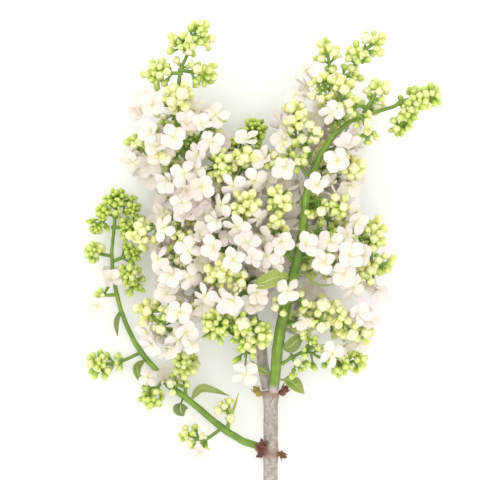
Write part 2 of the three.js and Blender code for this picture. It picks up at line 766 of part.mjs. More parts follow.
// Each spray: the stem it grows from, the place on that stem, its tufts of buds and its open florets.
// A tuft has a middle, a radius, and where it matters a way there and an aim; bare ones bear no buds.
// A head is a tuft with a number of florets round its aim. A tuft that rests has a bud pressed flat.
const rightSprays = {
  right_spray_tip: { root: [63, 235, 44], tufts: [
    { at: [74, 237.5, 47], radius: 6.5, via: [[68.5, 238, 43]], aim: [0.1, 0.2, 1] },
    { at: [80.5, 240, 45], radius: 6, aim: [1, 0.1, 0.4] },
    { at: [68.5, 231.5, 45], radius: 5.5, aim: [0, -0.6, 1] },
    { at: [64.5, 224.5, 42], radius: 5 },
    { at: [73, 240, 37], radius: 5 }] },
  right_spray_upper: { root: [45, 229.5, 47], tufts: [
    { at: [54, 243, 46], radius: 6.5 },
    { at: [52, 236, 33], radius: 6 },
    { at: [39.5, 235, 55], radius: 5.5, aim: [0, 0.3, 1] },
    { at: [47.5, 226, 55.5], radius: 5.5, aim: [0.2, 0, 1] },
    { at: [48.5, 218, 49], radius: 5 }] },
  right_spray_top: { root: [31, 219, 50.5], tufts: [
    { at: [41, 250.5, 37], radius: 6, via: [[30.5, 234, 45], [31, 247, 42]] },
    { at: [28.5, 262.5, 43], radius: 7 },
    { at: [44, 261, 42], radius: 6 },
    { at: [52.5, 266.5, 41], radius: 6.5 }] },
  right_spray_crown: { root: [34.5, 223, 49.5], tufts: [
    { at: [35, 244, 51.5], radius: 7.5 },
    { at: [23.5, 247, 49], radius: 5.5 },
    { at: [25.5, 238.5, 53], radius: 5.5, aim: [-0.2, 0, 1] },
    { at: [34, 229, 30], radius: 6, florets: 3 }],
  florets: [[17.5, 252, 45], [30.5, 231.5, 59]] },
  right_spray_left_top: { root: [22, 203, 54], tufts: [
    { at: [16, 218, 53], radius: 4.5, aim: [0, 0, 1] },
    { at: [13, 232, 50.5], radius: 7.5 },
    { at: [22.5, 221.5, 56.5], radius: 4.5, aim: [0, 0, 1] }],
  florets: [[13, 240.5, 48], [5, 226, 49], [7, 217.5, 56]] },
  right_spray_middle: { root: [25.5, 210.5, 53], tufts: [
    { at: [40.5, 204, 53], radius: 7.5, via: [[32, 208, 52]], aim: [0.4, 0, 1] },
    { at: [30, 213, 47], radius: 4, bare: true, florets: 2 },
    { at: [26, 210, 27], radius: 6, florets: 3 },
    { at: [29, 200, 28], radius: 6, florets: 3 }],
  florets: [[38.5, 215, 56], [39.5, 195.5, 55], [29.5, 216.5, 58], [33, 207, 62]] },
  right_spray_left_middle: { root: [19.5, 197, 55], tufts: [
    { at: [14, 206.5, 55.5], radius: 5.5, aim: [-0.2, 0.2, 1] },
    { at: [1, 206, 55], radius: 4.5, aim: [-0.3, 0, 1] }],
  florets: [[7.5, 204, 63], [8.5, 212, 52], [-3, 208, 56]] },
  right_spray_right: { root: [17.5, 187, 55], tufts: [
    { at: [35, 184, 56.5], radius: 7, via: [[26, 187, 54]], aim: [0.3, 0, 1] },
    { at: [24.5, 182, 60], radius: 4.5, aim: [0, 0, 1] },
    { at: [18, 184, 22], radius: 6, florets: 3 },
    { at: [34, 176, 24], radius: 6, florets: 3 }],
  florets: [[22.5, 194, 63], [32.5, 195, 61], [42.5, 177, 56]] },
  right_spray_outer_low: { root: [16, 172, 54], tufts: [
    { at: [51, 168, 45], radius: 7.5, via: [[32, 172, 50]] },
    { at: [50.5, 155, 43], radius: 7.5 }],
  florets: [[39, 171, 57], [53.5, 143, 42], [44.5, 161.5, 57]] },
  right_spray_low: { root: [13.5, 159, 51], tufts: [
    { at: [33, 156, 50], radius: 6.5, bare: true, via: [[23, 160, 54]], florets: 2 },
    { at: [14, 158, 18], radius: 6, florets: 3 },
    { at: [36, 150, 7.4], radius: 6.5, aim: [0.1, 0, -1], via: [[32, 152, 22]], rests: true }],
  florets: [[29, 167, 61], [26.5, 157, 64], [36, 151, 60], [41, 144, 52], [30, 146, 56]] },
  right_spray_foot: { root: [6.2, 126, 39], tufts: [
    { at: [26, 135, 50], radius: 6.5, via: [[17, 126.5, 44]], aim: [0, 0.3, 1] },
    { at: [35, 131.5, 50], radius: 7, aim: [0.2, 0, 1] },
    { at: [40, 122, 45], radius: 6.5, aim: [0.3, -0.4, 1] },
    { at: [48.5, 122, 41], radius: 6 },
    { at: [25, 125, 53], radius: 4, aim: [0, 0, 1] },
    { at: [17, 130, 18], radius: 6, florets: 3 },
    { at: [36, 124, 22], radius: 6, florets: 3 }],
  florets: [[43.5, 131.5, 55], [48.5, 129, 44]] },
  right_spray_stem_front: { root: [9.3, 140, 44], tufts: [
    { at: [17, 137, 55], radius: 5, aim: [0, 0, 1] },
    { at: [3, 134, 50], radius: 5, aim: [-0.3, 0, 1] }],
  florets: [[8.5, 143, 61], [17, 128.5, 52]] },
  right_spray_lowest: { root: [3.5, 104, 29], tufts: [
    { at: [36, 105.5, 32], radius: 6, via: [[11, 109, 34], [18.5, 112, 36], [26, 108.5, 35]] },
    { at: [44, 107.5, 29], radius: 6 },
    { at: [21.5, 117, 42], radius: 4 },
    { at: [15, 103.5, 35], radius: 3.5 }],
  florets: [[31, 111, 45]] },
  right_spray_heart: { root: [12.5, 154, 49.5], tufts: [
    { at: [6.5, 164, 53], radius: 4.5, bare: true, florets: 2 },
    { at: [3, 176, 59], radius: 6.5, aim: [0, 0, 1] },
    { at: [4, 188, 59], radius: 7.5, aim: [0, 0, 1] }],
  florets: [[5.5, 167.5, 65], [17, 166, 66], [-2, 160, 60]] },
};

const leftSprays = {
  left_spray_tip: { root: [-45.5, 248, 37.8], tufts: [
    { at: [-40.5, 268, 43], radius: 5.5, via: [[-44.7, 253, 38], [-41, 262, 38]], aim: [0, 0.2, 1] },
    { at: [-35, 273.5, 40], radius: 6.5, aim: [0.2, 1, 0.5] },
    { at: [-32.5, 266, 40], radius: 5, aim: [1, 0, 0.5] },
    { at: [-47.5, 267, 38], radius: 5 },
    { at: [-56, 251.5, 39], radius: 7.5 },
    { at: [-33, 251, 39], radius: 7 }] },
  left_spray_front: { root: [-46.6, 234, 37], tufts: [
    { at: [-45.5, 239, 49], radius: 8, aim: [0, 0.2, 1] },
    { at: [-57.5, 235, 40], radius: 4, bare: true }],
  florets: [[-59, 235.5, 48]] },
  left_spray_outer: { root: [-45.6, 222, 35], tufts: [
    { at: [-65, 217, 36], radius: 7 },
    { at: [-58, 221.5, 45], radius: 4.5, aim: [-0.3, 0, 1] },
    { at: [-38, 216, 7.4], radius: 6.5, aim: [0.1, 0, -1], via: [[-41, 217, 22]], rests: true },
    { at: [-51, 207, 22], radius: 6, florets: 3 }],
  florets: [[-69, 207, 35], [-60.5, 206, 42]] },
  left_spray_white: { root: [-44.5, 216, 34.5], tufts: [
    { at: [-50, 219, 45], radius: 6.5, bare: true, florets: 3 },
    { at: [-53, 209.5, 51], radius: 5, aim: [-0.2, -0.2, 1] }],
  florets: [[-48.5, 219, 56], [-42, 226, 53], [-56, 214.5, 55]] },
  left_spray_right_white: { root: [-43, 212, 34], tufts: [
    { at: [-34, 221, 43], radius: 6.5, bare: true, florets: 3 },
    { at: [-26.5, 227, 42], radius: 6 }],
  florets: [[-35, 224.5, 55], [-29.5, 216.5, 55], [-38, 232, 45], [-25, 219, 46]] },
  left_spray_yellow: { root: [-38, 200, 33], tufts: [
    { at: [-24, 204.5, 52], radius: 8, aim: [0, 0, 1] },
    { at: [-42, 200, 46], radius: 4, bare: true, florets: 3 },
    { at: [-28, 197, 13], radius: 6, florets: 3 },
    { at: [-43.5, 182, 20], radius: 6, florets: 3 }],
  florets: [[-42.5, 201, 57], [-35, 209, 55], [-50.5, 197, 48], [-34, 194, 58]] },
  left_spray_behind: { root: [-30.5, 181, 31], tufts: [
    { at: [-8, 222.5, 25], radius: 7, via: [[-22, 192, 25], [-13.5, 209, 24]] },
    { at: [-18, 216.5, 26], radius: 4.5 },
    { at: [-4, 211, 26], radius: 4.5 }] },
  left_spray_cream: { root: [-33, 186, 32], tufts: [
    { at: [-13, 207.5, 54], radius: 7, via: [[-19, 194, 42]], aim: [0, 0.3, 1] }],
  florets: [[-18.5, 194.5, 61], [-8, 197, 61], [-1.5, 200, 54], [-12, 218, 50]] },
  left_spray_centre: { root: [-28, 177, 30.5], tufts: [
    { at: [-12, 184.5, 60], radius: 8.5, via: [[-18, 182, 46]], aim: [0, 0, 1] }],
  florets: [[-24.5, 185.5, 60], [-28, 177.5, 57], [-17, 174.5, 63], [-4, 176, 63]] },
  left_spray_left: { root: [-31, 182.5, 31], tufts: [
    { at: [-63.5, 171, 38], radius: 8, via: [[-46, 180, 36]] },
    { at: [-44.5, 169.5, 51], radius: 5, aim: [0, 0, 1] },
    { at: [-38, 180.5, 42], radius: 5, bare: true, florets: 2 },
    { at: [-24, 172, 12.5], radius: 6, florets: 3 },
    { at: [-47, 160, 22], radius: 6, florets: 3 }],
  florets: [[-53.5, 174, 52], [-43, 179.5, 54], [-36, 187, 50], [-35, 171, 55]] },
  left_spray_low_white: { root: [-20, 158, 28.5], tufts: [
    { at: [-20, 163, 49], radius: 6.5, bare: true, florets: 2 }],
  florets: [[-28, 164, 60], [-18.5, 158.5, 64], [-9.5, 161.5, 62], [-21, 170.5, 58]] },
  left_spray_low_left: { root: [-22, 163, 29], tufts: [
    { at: [-46, 158, 44], radius: 4.5, via: [[-36, 160, 38]], aim: [0, 0, 1] },
    { at: [-37, 146, 38], radius: 4.5, bare: true, florets: 1 }],
  florets: [[-56, 158.5, 45], [-49, 151, 51], [-41, 163, 58], [-40, 149.5, 53]] },
  left_spray_yellow_low: { root: [-14, 145, 27], tufts: [
    { at: [-24, 151.5, 55], radius: 9, via: [[-20, 149, 42]], aim: [0, 0, 1] },
    { at: [-14, 147, 57], radius: 4, aim: [0.2, 0, 1] }],
  florets: [[-32.5, 140, 55], [-23.5, 137.5, 58], [-35, 154, 58]] },
  left_spray_foot_left: { root: [-10.5, 136, 25.5], tufts: [
    { at: [-60.5, 132, 33], radius: 8, via: [[-34, 134, 34]] },
    { at: [-54, 124.5, 39], radius: 5.5, aim: [0, -0.4, 1] },
    { at: [-50, 133, 40], radius: 4, aim: [0, 0, 1] },
    { at: [-12, 146.5, 12.5], radius: 6, florets: 3 },
    { at: [-34, 138, 18], radius: 6, florets: 3 }],
  florets: [[-45.5, 132, 50], [-61.5, 121.5, 35], [-51, 114, 36], [-51.5, 141.5, 45], [-42, 122, 46]] },
  left_spray_foot: { root: [-5.4, 120, 22.6], tufts: [
    { at: [-26.5, 125.5, 44], radius: 8.5, via: [[-14, 119, 36]], aim: [-0.2, 0, 1] },
    { at: [-13.5, 126, 49], radius: 6.5, aim: [0, 0, 1] },
    { at: [-4.5, 121, 46], radius: 6.5, aim: [0, 0, 1] },
    { at: [-11.5, 116, 45], radius: 4.5, aim: [0, -0.5, 1] },
    { at: [-12, 109.5, 35], radius: 3, bare: true }],
  florets: [[-37.5, 116.5, 44, 6], [-12.5, 100.5, 37, 7.5]] },
  left_spray_hidden_top: { root: [-46, 242, 37.5], tufts: [
    { at: [-45, 236, 23], radius: 6, florets: 2 },
    { at: [-50, 226, 24], radius: 6, florets: 3 }] },
};

const sideSprays = {
  side_spray_tip: { root: [-79, 172, 11], tufts: [
    { at: [-77.5, 188.5, 14], radius: 5.5, via: [[-78.3, 180, 11.5]], aim: [0, 0.8, 0.6] },
    { at: [-70, 185, 13], radius: 5, aim: [1, 0, 0.6] },
    { at: [-83.5, 182, 13], radius: 4.5, aim: [-1, 0, 0.6] },
    { at: [-87, 175, 11.5], radius: 4.5 },
    { at: [-72, 174, 14.5], radius: 5, aim: [0, 0, 1] },
    { at: [-66, 178, 13], radius: 4 }] },
  side_spray_left: { root: [-80, 160, 11], tufts: [{ at: [-88.5, 161.5, 12], radius: 6 }] },
  side_spray_right: { root: [-80, 157, 10.8], tufts: [{ at: [-70, 161, 12], radius: 5.5 }] },
  side_spray_low_right: { root: [-78.6, 147, 10.3], tufts: [
    { at: [-71, 150.5, 16], radius: 6, aim: [0, 0, 1] },
    { at: [-66.5, 144.5, 13], radius: 4.5 }] },
  side_spray_low_left: { root: [-77.2, 140, 10], tufts: [{ at: [-84, 140, 11], radius: 4.5 }],
    florets: [[-80, 148, 20, 6], [-87, 134.5, 17, 6]] },
  side_spray_outer: { root: [-65.5, 111, 9], tufts: [
    { at: [-86, 104.5, 7.6], radius: 7.5, via: [[-76.6, 106, 8.5]], rests: true, aim: [-0.6, 0, 0.8] }] },
  side_spray_base: { root: [-54, 97, 9.4], tufts: [
    { at: [-60, 88, 10.5], radius: 6.5, aim: [-0.3, -0.5, 1] }],
  florets: [[-61, 98.5, 18, 5.5]] },
  side_spray_upright: { root: [-42.5, 88, 10.4], tufts: [
    { at: [-43.5, 105.5, 16.5], radius: 7.5, aim: [0, 0.4, 1] },
    { at: [-49, 95.5, 17], radius: 3.5, aim: [-0.5, 0, 1] }] },
  side_spray_lowest: { root: [-24, 72.5, 12.5], tufts: [
    { at: [-41, 69, 12], radius: 5.5, via: [[-33.6, 66.8, 12.5]], aim: [-0.6, 0.2, 0.8] },
    { at: [-35.5, 61.5, 11], radius: 4, aim: [0, -0.8, 0.6] }],
  florets: [[-35.5, 60.5, 19, 5.5]] },
  side_spray_bud: { root: [-21.5, 71, 12.8], tufts: [
    { at: [-24, 85, 19], radius: 4, via: [[-20.5, 79, 17]] }] },
};

const whiteSprays = new Set([
  'right_spray_low', 'right_spray_heart', 'right_spray_middle', 'right_spray_left_middle',
  'left_spray_white', 'left_spray_right_white', 'left_spray_centre', 'left_spray_cream',
  'left_spray_low_white', 'left_spray_low_left', 'left_spray_yellow', 'left_spray_left',
]);

const sprayGroups = [
  ['right_panicle_stem', rightSprays],
  ['left_panicle_stem', leftSprays],
  ['side_branch', sideSprays],
];

sprayGroups.forEach(([stem, group], groupIndex) => {
  Object.entries(group).forEach(([name, plan], index) => {
    growSpray(name, { stem, seed: 1000 * groupIndex + 37 * index + 5, ...plan });
  });
});

export default lilac;
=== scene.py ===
import math
import random
import bmesh
import bpy
from mathutils import Matrix, Vector, noise


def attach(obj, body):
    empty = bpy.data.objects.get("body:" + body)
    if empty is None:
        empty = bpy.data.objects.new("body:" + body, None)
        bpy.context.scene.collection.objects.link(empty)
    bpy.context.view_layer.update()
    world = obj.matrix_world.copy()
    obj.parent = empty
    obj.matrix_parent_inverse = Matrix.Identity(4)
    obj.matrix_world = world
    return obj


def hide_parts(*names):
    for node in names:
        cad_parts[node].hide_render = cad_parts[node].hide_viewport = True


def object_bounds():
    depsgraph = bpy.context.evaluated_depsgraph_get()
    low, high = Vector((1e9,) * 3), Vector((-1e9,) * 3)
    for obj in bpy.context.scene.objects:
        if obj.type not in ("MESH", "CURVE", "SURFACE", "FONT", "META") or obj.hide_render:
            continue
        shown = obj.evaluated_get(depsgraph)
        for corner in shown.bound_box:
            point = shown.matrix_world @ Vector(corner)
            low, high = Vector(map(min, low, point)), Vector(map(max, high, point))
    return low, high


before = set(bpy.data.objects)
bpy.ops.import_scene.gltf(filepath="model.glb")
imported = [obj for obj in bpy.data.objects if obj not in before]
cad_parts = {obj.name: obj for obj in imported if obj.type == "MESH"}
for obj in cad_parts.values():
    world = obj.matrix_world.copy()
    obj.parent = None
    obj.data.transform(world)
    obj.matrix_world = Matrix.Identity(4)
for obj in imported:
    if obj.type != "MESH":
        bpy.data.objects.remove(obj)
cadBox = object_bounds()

# A cut stem of white lilac lying on a pale table. The plant's own sizes and places are in millimetres,
# those of the light, the table and the materials in the scene's metres.
mm = 0.001
upAxis = Vector((0, 0, 1))
goldenAngle = math.pi * (3 - math.sqrt(5))
quarterTurn, anyTurn = 1.57, 6.28  # the ranges of random turns


# camera and light

# the camera looks straight down; the width is what it sees at the level
view = dict(centre=(-15, 168), level=40, distance=2000, width=240, sensor=36, farEnd=10)

cameraData = bpy.data.cameras.new("viewCamera")
cameraData.sensor_width = view["sensor"]
cameraData.lens = view["sensor"] * view["distance"] / view["width"]
cameraData.clip_end = view["farEnd"]
camera = bpy.data.objects.new("viewCamera", cameraData)
camera.location = (view["centre"][0] * mm, view["centre"][1] * mm, (view["level"] + view["distance"]) * mm)
bpy.context.collection.objects.link(camera)
bpy.context.scene.camera = camera

studio = dict(
    room=1.25, roomColour=(1.0, 0.995, 0.985, 1), aim=(-0.015, 0.15, 0.02),
    lights={"keyLight": dict(place=(-0.5, 0.8, 1.4), size=0.8, watts=2.6),
            "overheadLight": dict(place=(0.1, 0.1, 1.6), size=0.7, watts=4.6)})


def addSoftLight(name, place, size, watts):
    lightData = bpy.data.lights.new(name, "AREA")
    lightData.shape = "DISK"
    lightData.size = size
    lightData.energy = watts
    light = bpy.data.objects.new(name, lightData)
    light.location = place
    light.rotation_euler = (Vector(studio["aim"]) - Vector(place)).to_track_quat("-Z", "Y").to_euler()
    bpy.context.collection.objects.link(light)


for lightName, light in studio["lights"].items():
    addSoftLight(lightName, **light)
room = bpy.data.worlds.new("softRoom")
room.use_nodes = True
room.node_tree.nodes["Background"].inputs["Color"].default_value = studio["roomColour"]
room.node_tree.nodes["Background"].inputs["Strength"].default_value = studio["room"]
bpy.context.scene.world = room
bpy.context.scene.view_settings.view_transform = "Standard"
print("camera and lights")


# selection and shaping helpers

aside = 10  # rows that are done wait this far off, so that the next ones are picked alone


def activeObject():
    return bpy.context.view_layer.objects.active


def deselectAll():
    bpy.ops.object.select_all(action="DESELECT")


def makeActive(obj):
    deselectAll()
    obj.select_set(True)
    bpy.context.view_layer.objects.active = obj


def editMode(obj):
    makeActive(obj)
    bpy.ops.object.mode_set(mode="EDIT")
    bpy.ops.mesh.select_mode(type="VERT")


def objectMode():
    bpy.ops.object.mode_set(mode="OBJECT")


def selectMesh():
    bpy.ops.mesh.select_all(action="SELECT")


def isAt(value, place, within=1e-4):
    return abs(value - place) < within


def pickVerts(obj, test):
    # in edit mode: selects the points whose place passes the test
    mesh = bmesh.from_edit_mesh(obj.data)
    for part in [*mesh.faces, *mesh.edges]:
        part.select = False
    for vert in mesh.verts:
        vert.select = test(vert.co)
    mesh.select_flush_mode()
    bmesh.update_edit_mesh(obj.data)


def levelsOf(obj, axis):
    # in edit mode: the different places of the points along an axis, in order
    levels = []
    for value in sorted(vert.co[axis] for vert in bmesh.from_edit_mesh(obj.data).verts):
        if not levels or not isAt(value, levels[-1]):
            levels.append(value)
    return levels


def moveBy(x, y, z):
    bpy.ops.transform.translate(value=(x, y, z))


def widen(share, centre, axes=(1, 1, 0)):
    # scales the selected points about a centre, only along the axes that are 1
    bpy.ops.transform.resize(value=[share if axis else 1 for axis in axes], center_override=centre)


def shapeRings(obj, profile):
    # in edit mode: moves each ring of a sphere to its height and gives it its radius
    levels = levelsOf(obj, 2)
    for place, (height, radius) in zip(levels[::-1], profile[::-1]):
        pickVerts(obj, lambda co: isAt(co.z, place))
        ringRadius = math.sqrt(max(1 - place * place, 0))
        if ringRadius > 1e-3:
            widen(radius / ringRadius, (0, 0, place))
        moveBy(0, 0, height - place + aside)
    selectMesh()
    moveBy(0, 0, -aside)


def narrowRows(obj, rows, breadth, curl, refine):
    # in edit mode: gives each row of a grid its reach and its share of the breadth, and bends it by the curl
    for place, (reach, share) in list(zip(levelsOf(obj, 1), rows))[::-1]:
        pickVerts(obj, lambda co: isAt(co.y, place))
        widen(share * breadth, (0, place, 0), (1, 0, 0))
        moveBy(0, reach - place + aside, curl(reach))
        refine(share, lambda co: isAt(co.y - reach, aside))
    selectMesh()
    moveBy(0, -aside, 0)


def makeOutward():
    # in edit mode: turns every face outwards
    selectMesh()
    bpy.ops.mesh.normals_make_consistent(inside=False)


def applyModifiers(obj):
    makeActive(obj)
    for modifier in list(obj.modifiers):
        bpy.ops.object.modifier_apply(modifier=modifier.name)


def smoothUnder(degrees):
    bpy.ops.object.shade_smooth_by_angle(angle=math.radians(degrees))


def valuesOf(mesh, name):
    return mesh.attributes.get(name) or mesh.attributes.new(name, "FLOAT", "POINT")


def setValues(obj, **rules):
    # a number on each point for every rule, which the materials read
    for name, rule in rules.items():
        values = valuesOf(obj.data, name)
        for index, vert in enumerate(obj.data.vertices):
            values.data[index].value = rule(vert.co)


def turnedTo(axis, turn=0.0):
    # takes +Z to the axis and +X to the level direction across it, then turns about the axis
    level = Vector((1, 0, 0)) if abs(axis.dot(upAxis)) > 0.95 else upAxis
    across = axis.cross(level).normalized()
    raised = across.cross(axis).normalized()
    facing = Matrix((across, raised, axis)).transposed().to_4x4()
    return facing @ Matrix.Rotation(turn, 4, "Z")


def copyTo(master, matrix, **values):
    # a copy with its own mesh, moved within it, that carries a value or two
    copy = bpy.data.objects.new(master.name, master.data.copy())
    copy.data.transform(matrix)
    for name, value in values.items():
        valuesOf(copy.data, name).data.foreach_set("value", [value] * len(copy.data.vertices))
    bpy.context.collection.objects.link(copy)
    return copy


def joinAs(name, parts):
    deselectAll()
    for part in parts:
        part.select_set(True)
    bpy.context.view_layer.objects.active = parts[0]
    if len(parts) > 1:
        bpy.ops.object.join()
    piece = activeObject()
    piece.name = piece.data.name = name
    return piece


def finishPiece(piece, node, material):
    piece.data.materials.clear()
    piece.data.materials.append(material)
    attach(piece, "root")
    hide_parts(node)


def tubeFrom(name, routes, roundness, smooth):
    # closed tubes along routes of (x, y, z, radius) in millimetres, as one mesh
    curve = bpy.data.curves.new(name, "CURVE")
    curve.dimensions = "3D"
    curve.bevel_depth = mm
    curve.bevel_resolution = roundness
    curve.use_fill_caps = True
    curve.resolution_u = smooth
    for route in routes:
        spline = curve.splines.new("BEZIER" if smooth > 1 else "POLY")
        points = spline.bezier_points if smooth > 1 else spline.points
        points.add(len(route) - 1)
        for target, (x, y, z, radius) in zip(points, route):
            if smooth > 1:
                target.co = (x * mm, y * mm, z * mm)
                target.handle_left_type = target.handle_right_type = "AUTO"
            else:
                target.co = (x * mm, y * mm, z * mm, 1)
            target.radius = radius
    tube = bpy.data.objects.new(name, curve)
    bpy.context.collection.objects.link(tube)
    makeActive(tube)
    bpy.ops.object.convert(target="MESH")
    bpy.ops.object.shade_smooth()
    return activeObject()


# shader groups and materials

def linear(colour):
    # "#rrggbb" as the linear colour a socket takes
    parts = [int(colour[place:place + 2], 16) / 255 for place in (1, 3, 5)]
    return tuple(c / 12.92 if c <= 0.04045 else ((c + 0.055) / 1.055) ** 2.4 for c in parts) + (1,)


def connect(tree, socket, value):
    # links the socket to another, or sets it to a number or to the colour "#rrggbb"
    if isinstance(value, bpy.types.NodeSocket):
        tree.links.new(value, socket)
    else:
        socket.default_value = linear(value) if isinstance(value, str) else value


def startGroup(name, inputs, outputs):
    group = bpy.data.node_groups.new(name, "ShaderNodeTree")
    for label, kind, value in inputs:
        socket = group.interface.new_socket(name=label, in_out="INPUT", socket_type="NodeSocket" + kind)
        if value is not None:
            socket.default_value = value
    for label, kind in outputs:
        group.interface.new_socket(name=label, in_out="OUTPUT", socket_type="NodeSocket" + kind)
    return group, group.nodes.new("NodeGroupInput").outputs, group.nodes.new("NodeGroupOutput").inputs


def addNode(tree, kind, values, **settings):
    node = tree.nodes.new("ShaderNode" + kind)
    for name, value in settings.items():
        setattr(node, name, value)
    for socket, value in values.items():
        connect(tree, node.inputs[socket], value)
    return node


def mixColours(tree, factor, first, second):
    return addNode(tree, "Mix", {0: factor, 6: first, 7: second}, data_type="RGBA").outputs[2]


def calculate(tree, operation, first, second=0.0, third=0.0, clamp=False):
    values = {0: first, 1: second, 2: third}
    return addNode(tree, "Math", values, operation=operation, use_clamp=clamp).outputs[0]


def times(tree, first, second):
    return calculate(tree, "MULTIPLY", first, second)


def remap(tree, value, low, high, top=1.0):
    # 0 where the value is low, and rising to the top where it is high
    values = {"Value": value, "From Min": low, "From Max": high, "To Max": top}
    return addNode(tree, "MapRange", values).outputs["Result"]


def noiseAt(tree, place, scale, detail):
    return addNode(tree, "TexNoise", {"Vector": place, "Scale": scale, "Detail": detail}).outputs["Fac"]


def buildMottle():
    # soft patches of a second colour, and a fine grain for bumps
    group, given, result = startGroup(
        "softMottle",
        [("Color", "Color", None), ("Patch Color", "Color", None), ("Scale", "Float", 300.0),
         ("Amount", "Float", 0.4)],
        [("Color", "Color"), ("Grain", "Float")])
    place = addNode(group, "TexCoord", {}).outputs["Object"]
    spread = remap(group, noiseAt(group, place, given["Scale"], 3.0), 0.35, 0.68)
    amount = times(group, spread, given["Amount"])
    connect(group, result["Color"], mixColours(group, amount, given["Color"], given["Patch Color"]))
    connect(group, result["Grain"], noiseAt(group, place, times(group, given["Scale"], 6.0), 2.0))
    return group


def buildStreaks():
    # narrow lines that run the length of a stem, a leaf or a petal, from the piece's own coordinates
    group, given, result = startGroup(
        "lengthStreaks",
        [("Across", "Float", 0.0), ("Along", "Float", 0.0), ("Count", "Float", 12.0),
         ("Waver", "Float", 1.5)],
        [("Mask", "Float")])
    spot = addNode(group, "CombineXYZ", {"X": times(group, given["Across"], given["Count"]),
                                         "Y": times(group, given["Along"], given["Waver"])})
    connect(group, result["Mask"], remap(group, noiseAt(group, spot.outputs["Vector"], 1.0, 2.0), 0.42, 0.62))
    return group


groups = dict(mottle=buildMottle(), streaks=buildStreaks())


def addGroup(tree, name, **values):
    node = tree.nodes.new("ShaderNodeGroup")
    node.node_tree = groups[name]
    for socket, value in values.items():
        connect(tree, node.inputs[socket.replace("_", " ")], value)
    return node.outputs


def mottle(tree, colour, patch, scale, amount):
    given = addGroup(tree, "mottle", Color=colour, Patch_Color=patch, Scale=scale, Amount=amount)
    return given["Color"], given["Grain"]


def streaks(tree, across, along, count, waver):
    return addGroup(tree, "streaks", Across=across, Along=along, Count=count, Waver=waver)["Mask"]


def startMaterial(name, roughness, **constants):
    material = bpy.data.materials.new(name)
    material.use_nodes = True
    tree = material.node_tree
    shader = tree.nodes["Principled BSDF"].inputs
    shader["Roughness"].default_value = roughness
    for socket, value in constants.items():
        shader[socket.replace("_", " ")].default_value = value
    return material, tree, shader


def attributes(tree, *names):
    return [addNode(tree, "Attribute", {}, attribute_name=name).outputs["Fac"] for name in names]


def colourRamp(tree, factor, stops):
    node = addNode(tree, "ValToRGB", {"Fac": factor})
    ramp = node.color_ramp
    while len(ramp.elements) < len(stops):
        ramp.elements.new(0.5)
    for element, (place, colour) in zip(ramp.elements, stops):
        element.position = place
        element.color = linear(colour)
    return node.outputs["Color"]


def coat(tree, shader, colour, height, strength, distance):
    # the colour of a material, and its bumps
    connect(tree, shader["Base Color"], colour)
    bump = addNode(tree, "Bump", {"Height": height, "Strength": strength, "Distance": distance * mm})
    connect(tree, shader["Normal"], bump.outputs["Normal"])


# in every look, mottle is the colour, scale and amount of its patches, streaks the count of its lines and how
# much they waver, and bump the strength of its bumps and their distance in millimetres

petalLook = dict(
    stops=[(0.0, "#7d9c48"), (0.07, "#b3c585"), (0.13, "#e6e0c6"), (0.42, "#f0e9da"), (0.485, "#c2c566"),
           (0.515, "#d8da92"), (0.57, "#e4e0bc"), (0.7, "#eae1d4"), (1.0, "#ebe1dd")],
    blush="#ecd9da", veins="#e2d6c5", mottle=("#e6ddcf", 180.0, 0.4), streaks=(9.0, 0.8), bump=(0.35, 0.12))


def buildPetalMaterial():
    # reach runs from -1 at the foot of the tube, over 0 at the throat, to 1 at the tip of a petal
    material, tree, shader = startMaterial(
        "lilacPetal", 0.5, Subsurface_Weight=0.15, Subsurface_Radius=(1.0, 0.95, 0.88),
        Subsurface_Scale=1.5 * mm, Sheen_Weight=0.2)
    reach, side, tone = attributes(tree, "reach", "side", "tone")
    colour = colourRamp(tree, calculate(tree, "MULTIPLY_ADD", reach, 0.5, 0.5), petalLook["stops"])
    lines = streaks(tree, side, reach, *petalLook["streaks"])
    outward = times(tree, lines, calculate(tree, "MULTIPLY", reach, 0.35, clamp=True))
    colour = mixColours(tree, outward, colour, petalLook["veins"])
    colour = mixColours(tree, remap(tree, tone, 0.6, 1.0, 0.6), colour, petalLook["blush"])
    colour, grain = mottle(tree, colour, *petalLook["mottle"])
    coat(tree, shader, colour, calculate(tree, "ADD", lines, times(tree, grain, 0.4)), *petalLook["bump"])
    return material


# green and cream run from calyx to tip; their deep green feet are partly the calyx's own green, partly
# painted shade inside the clusters
budLook = dict(
    green=[(0.0, "#4a7222"), (0.2, "#72952c"), (0.45, "#9cb940"), (0.75, "#c0d55a"), (1.0, "#d9e67a")],
    cream=[(0.0, "#548428"), (0.13, "#8fb03c"), (0.25, "#c4d566"), (0.5, "#e8e792"), (0.8, "#f4efb6"),
           (1.0, "#f7f2d2")],
    groove="#a3b650", pale="#f6efdc", mottle=("#bccc5c", 420.0, 0.25), bump=(0.25, 0.1))


def buildBudMaterial():
    # along runs from the calyx to the tip, tone from green to ripe, groove marks the four folds
    material, tree, shader = startMaterial(
        "lilacBud", 0.42, Subsurface_Weight=0.1, Subsurface_Radius=(0.9, 1.0, 0.5), Subsurface_Scale=1.0 * mm)
    along, tone, groove = attributes(tree, "along", "tone", "groove")
    # deepest green at the calyx: partly its own green, partly painted shade where the buds crowd together
    green, cream = (colourRamp(tree, along, budLook[name]) for name in ("green", "cream"))
    colour = mixColours(tree, remap(tree, tone, 0.2, 0.7), green, cream)
    colour = mixColours(tree, remap(tree, tone, 0.85, 1.0, 0.8), colour, budLook["pale"])
    colour = mixColours(tree, times(tree, groove, 0.5), colour, budLook["groove"])
    colour, grain = mottle(tree, colour, *budLook["mottle"])
    coat(tree, shader, colour, grain, *budLook["bump"])
    return material


stemLook = dict(green="#76962f", pale="#a4bb50", bark="#b3aaa1", mottle=("#41661e", 110.0, 0.7),
                barkMottle=("#736960", 300.0, 0.8), streaks=(14.0, 9.0), bump=(0.4, 0.25))


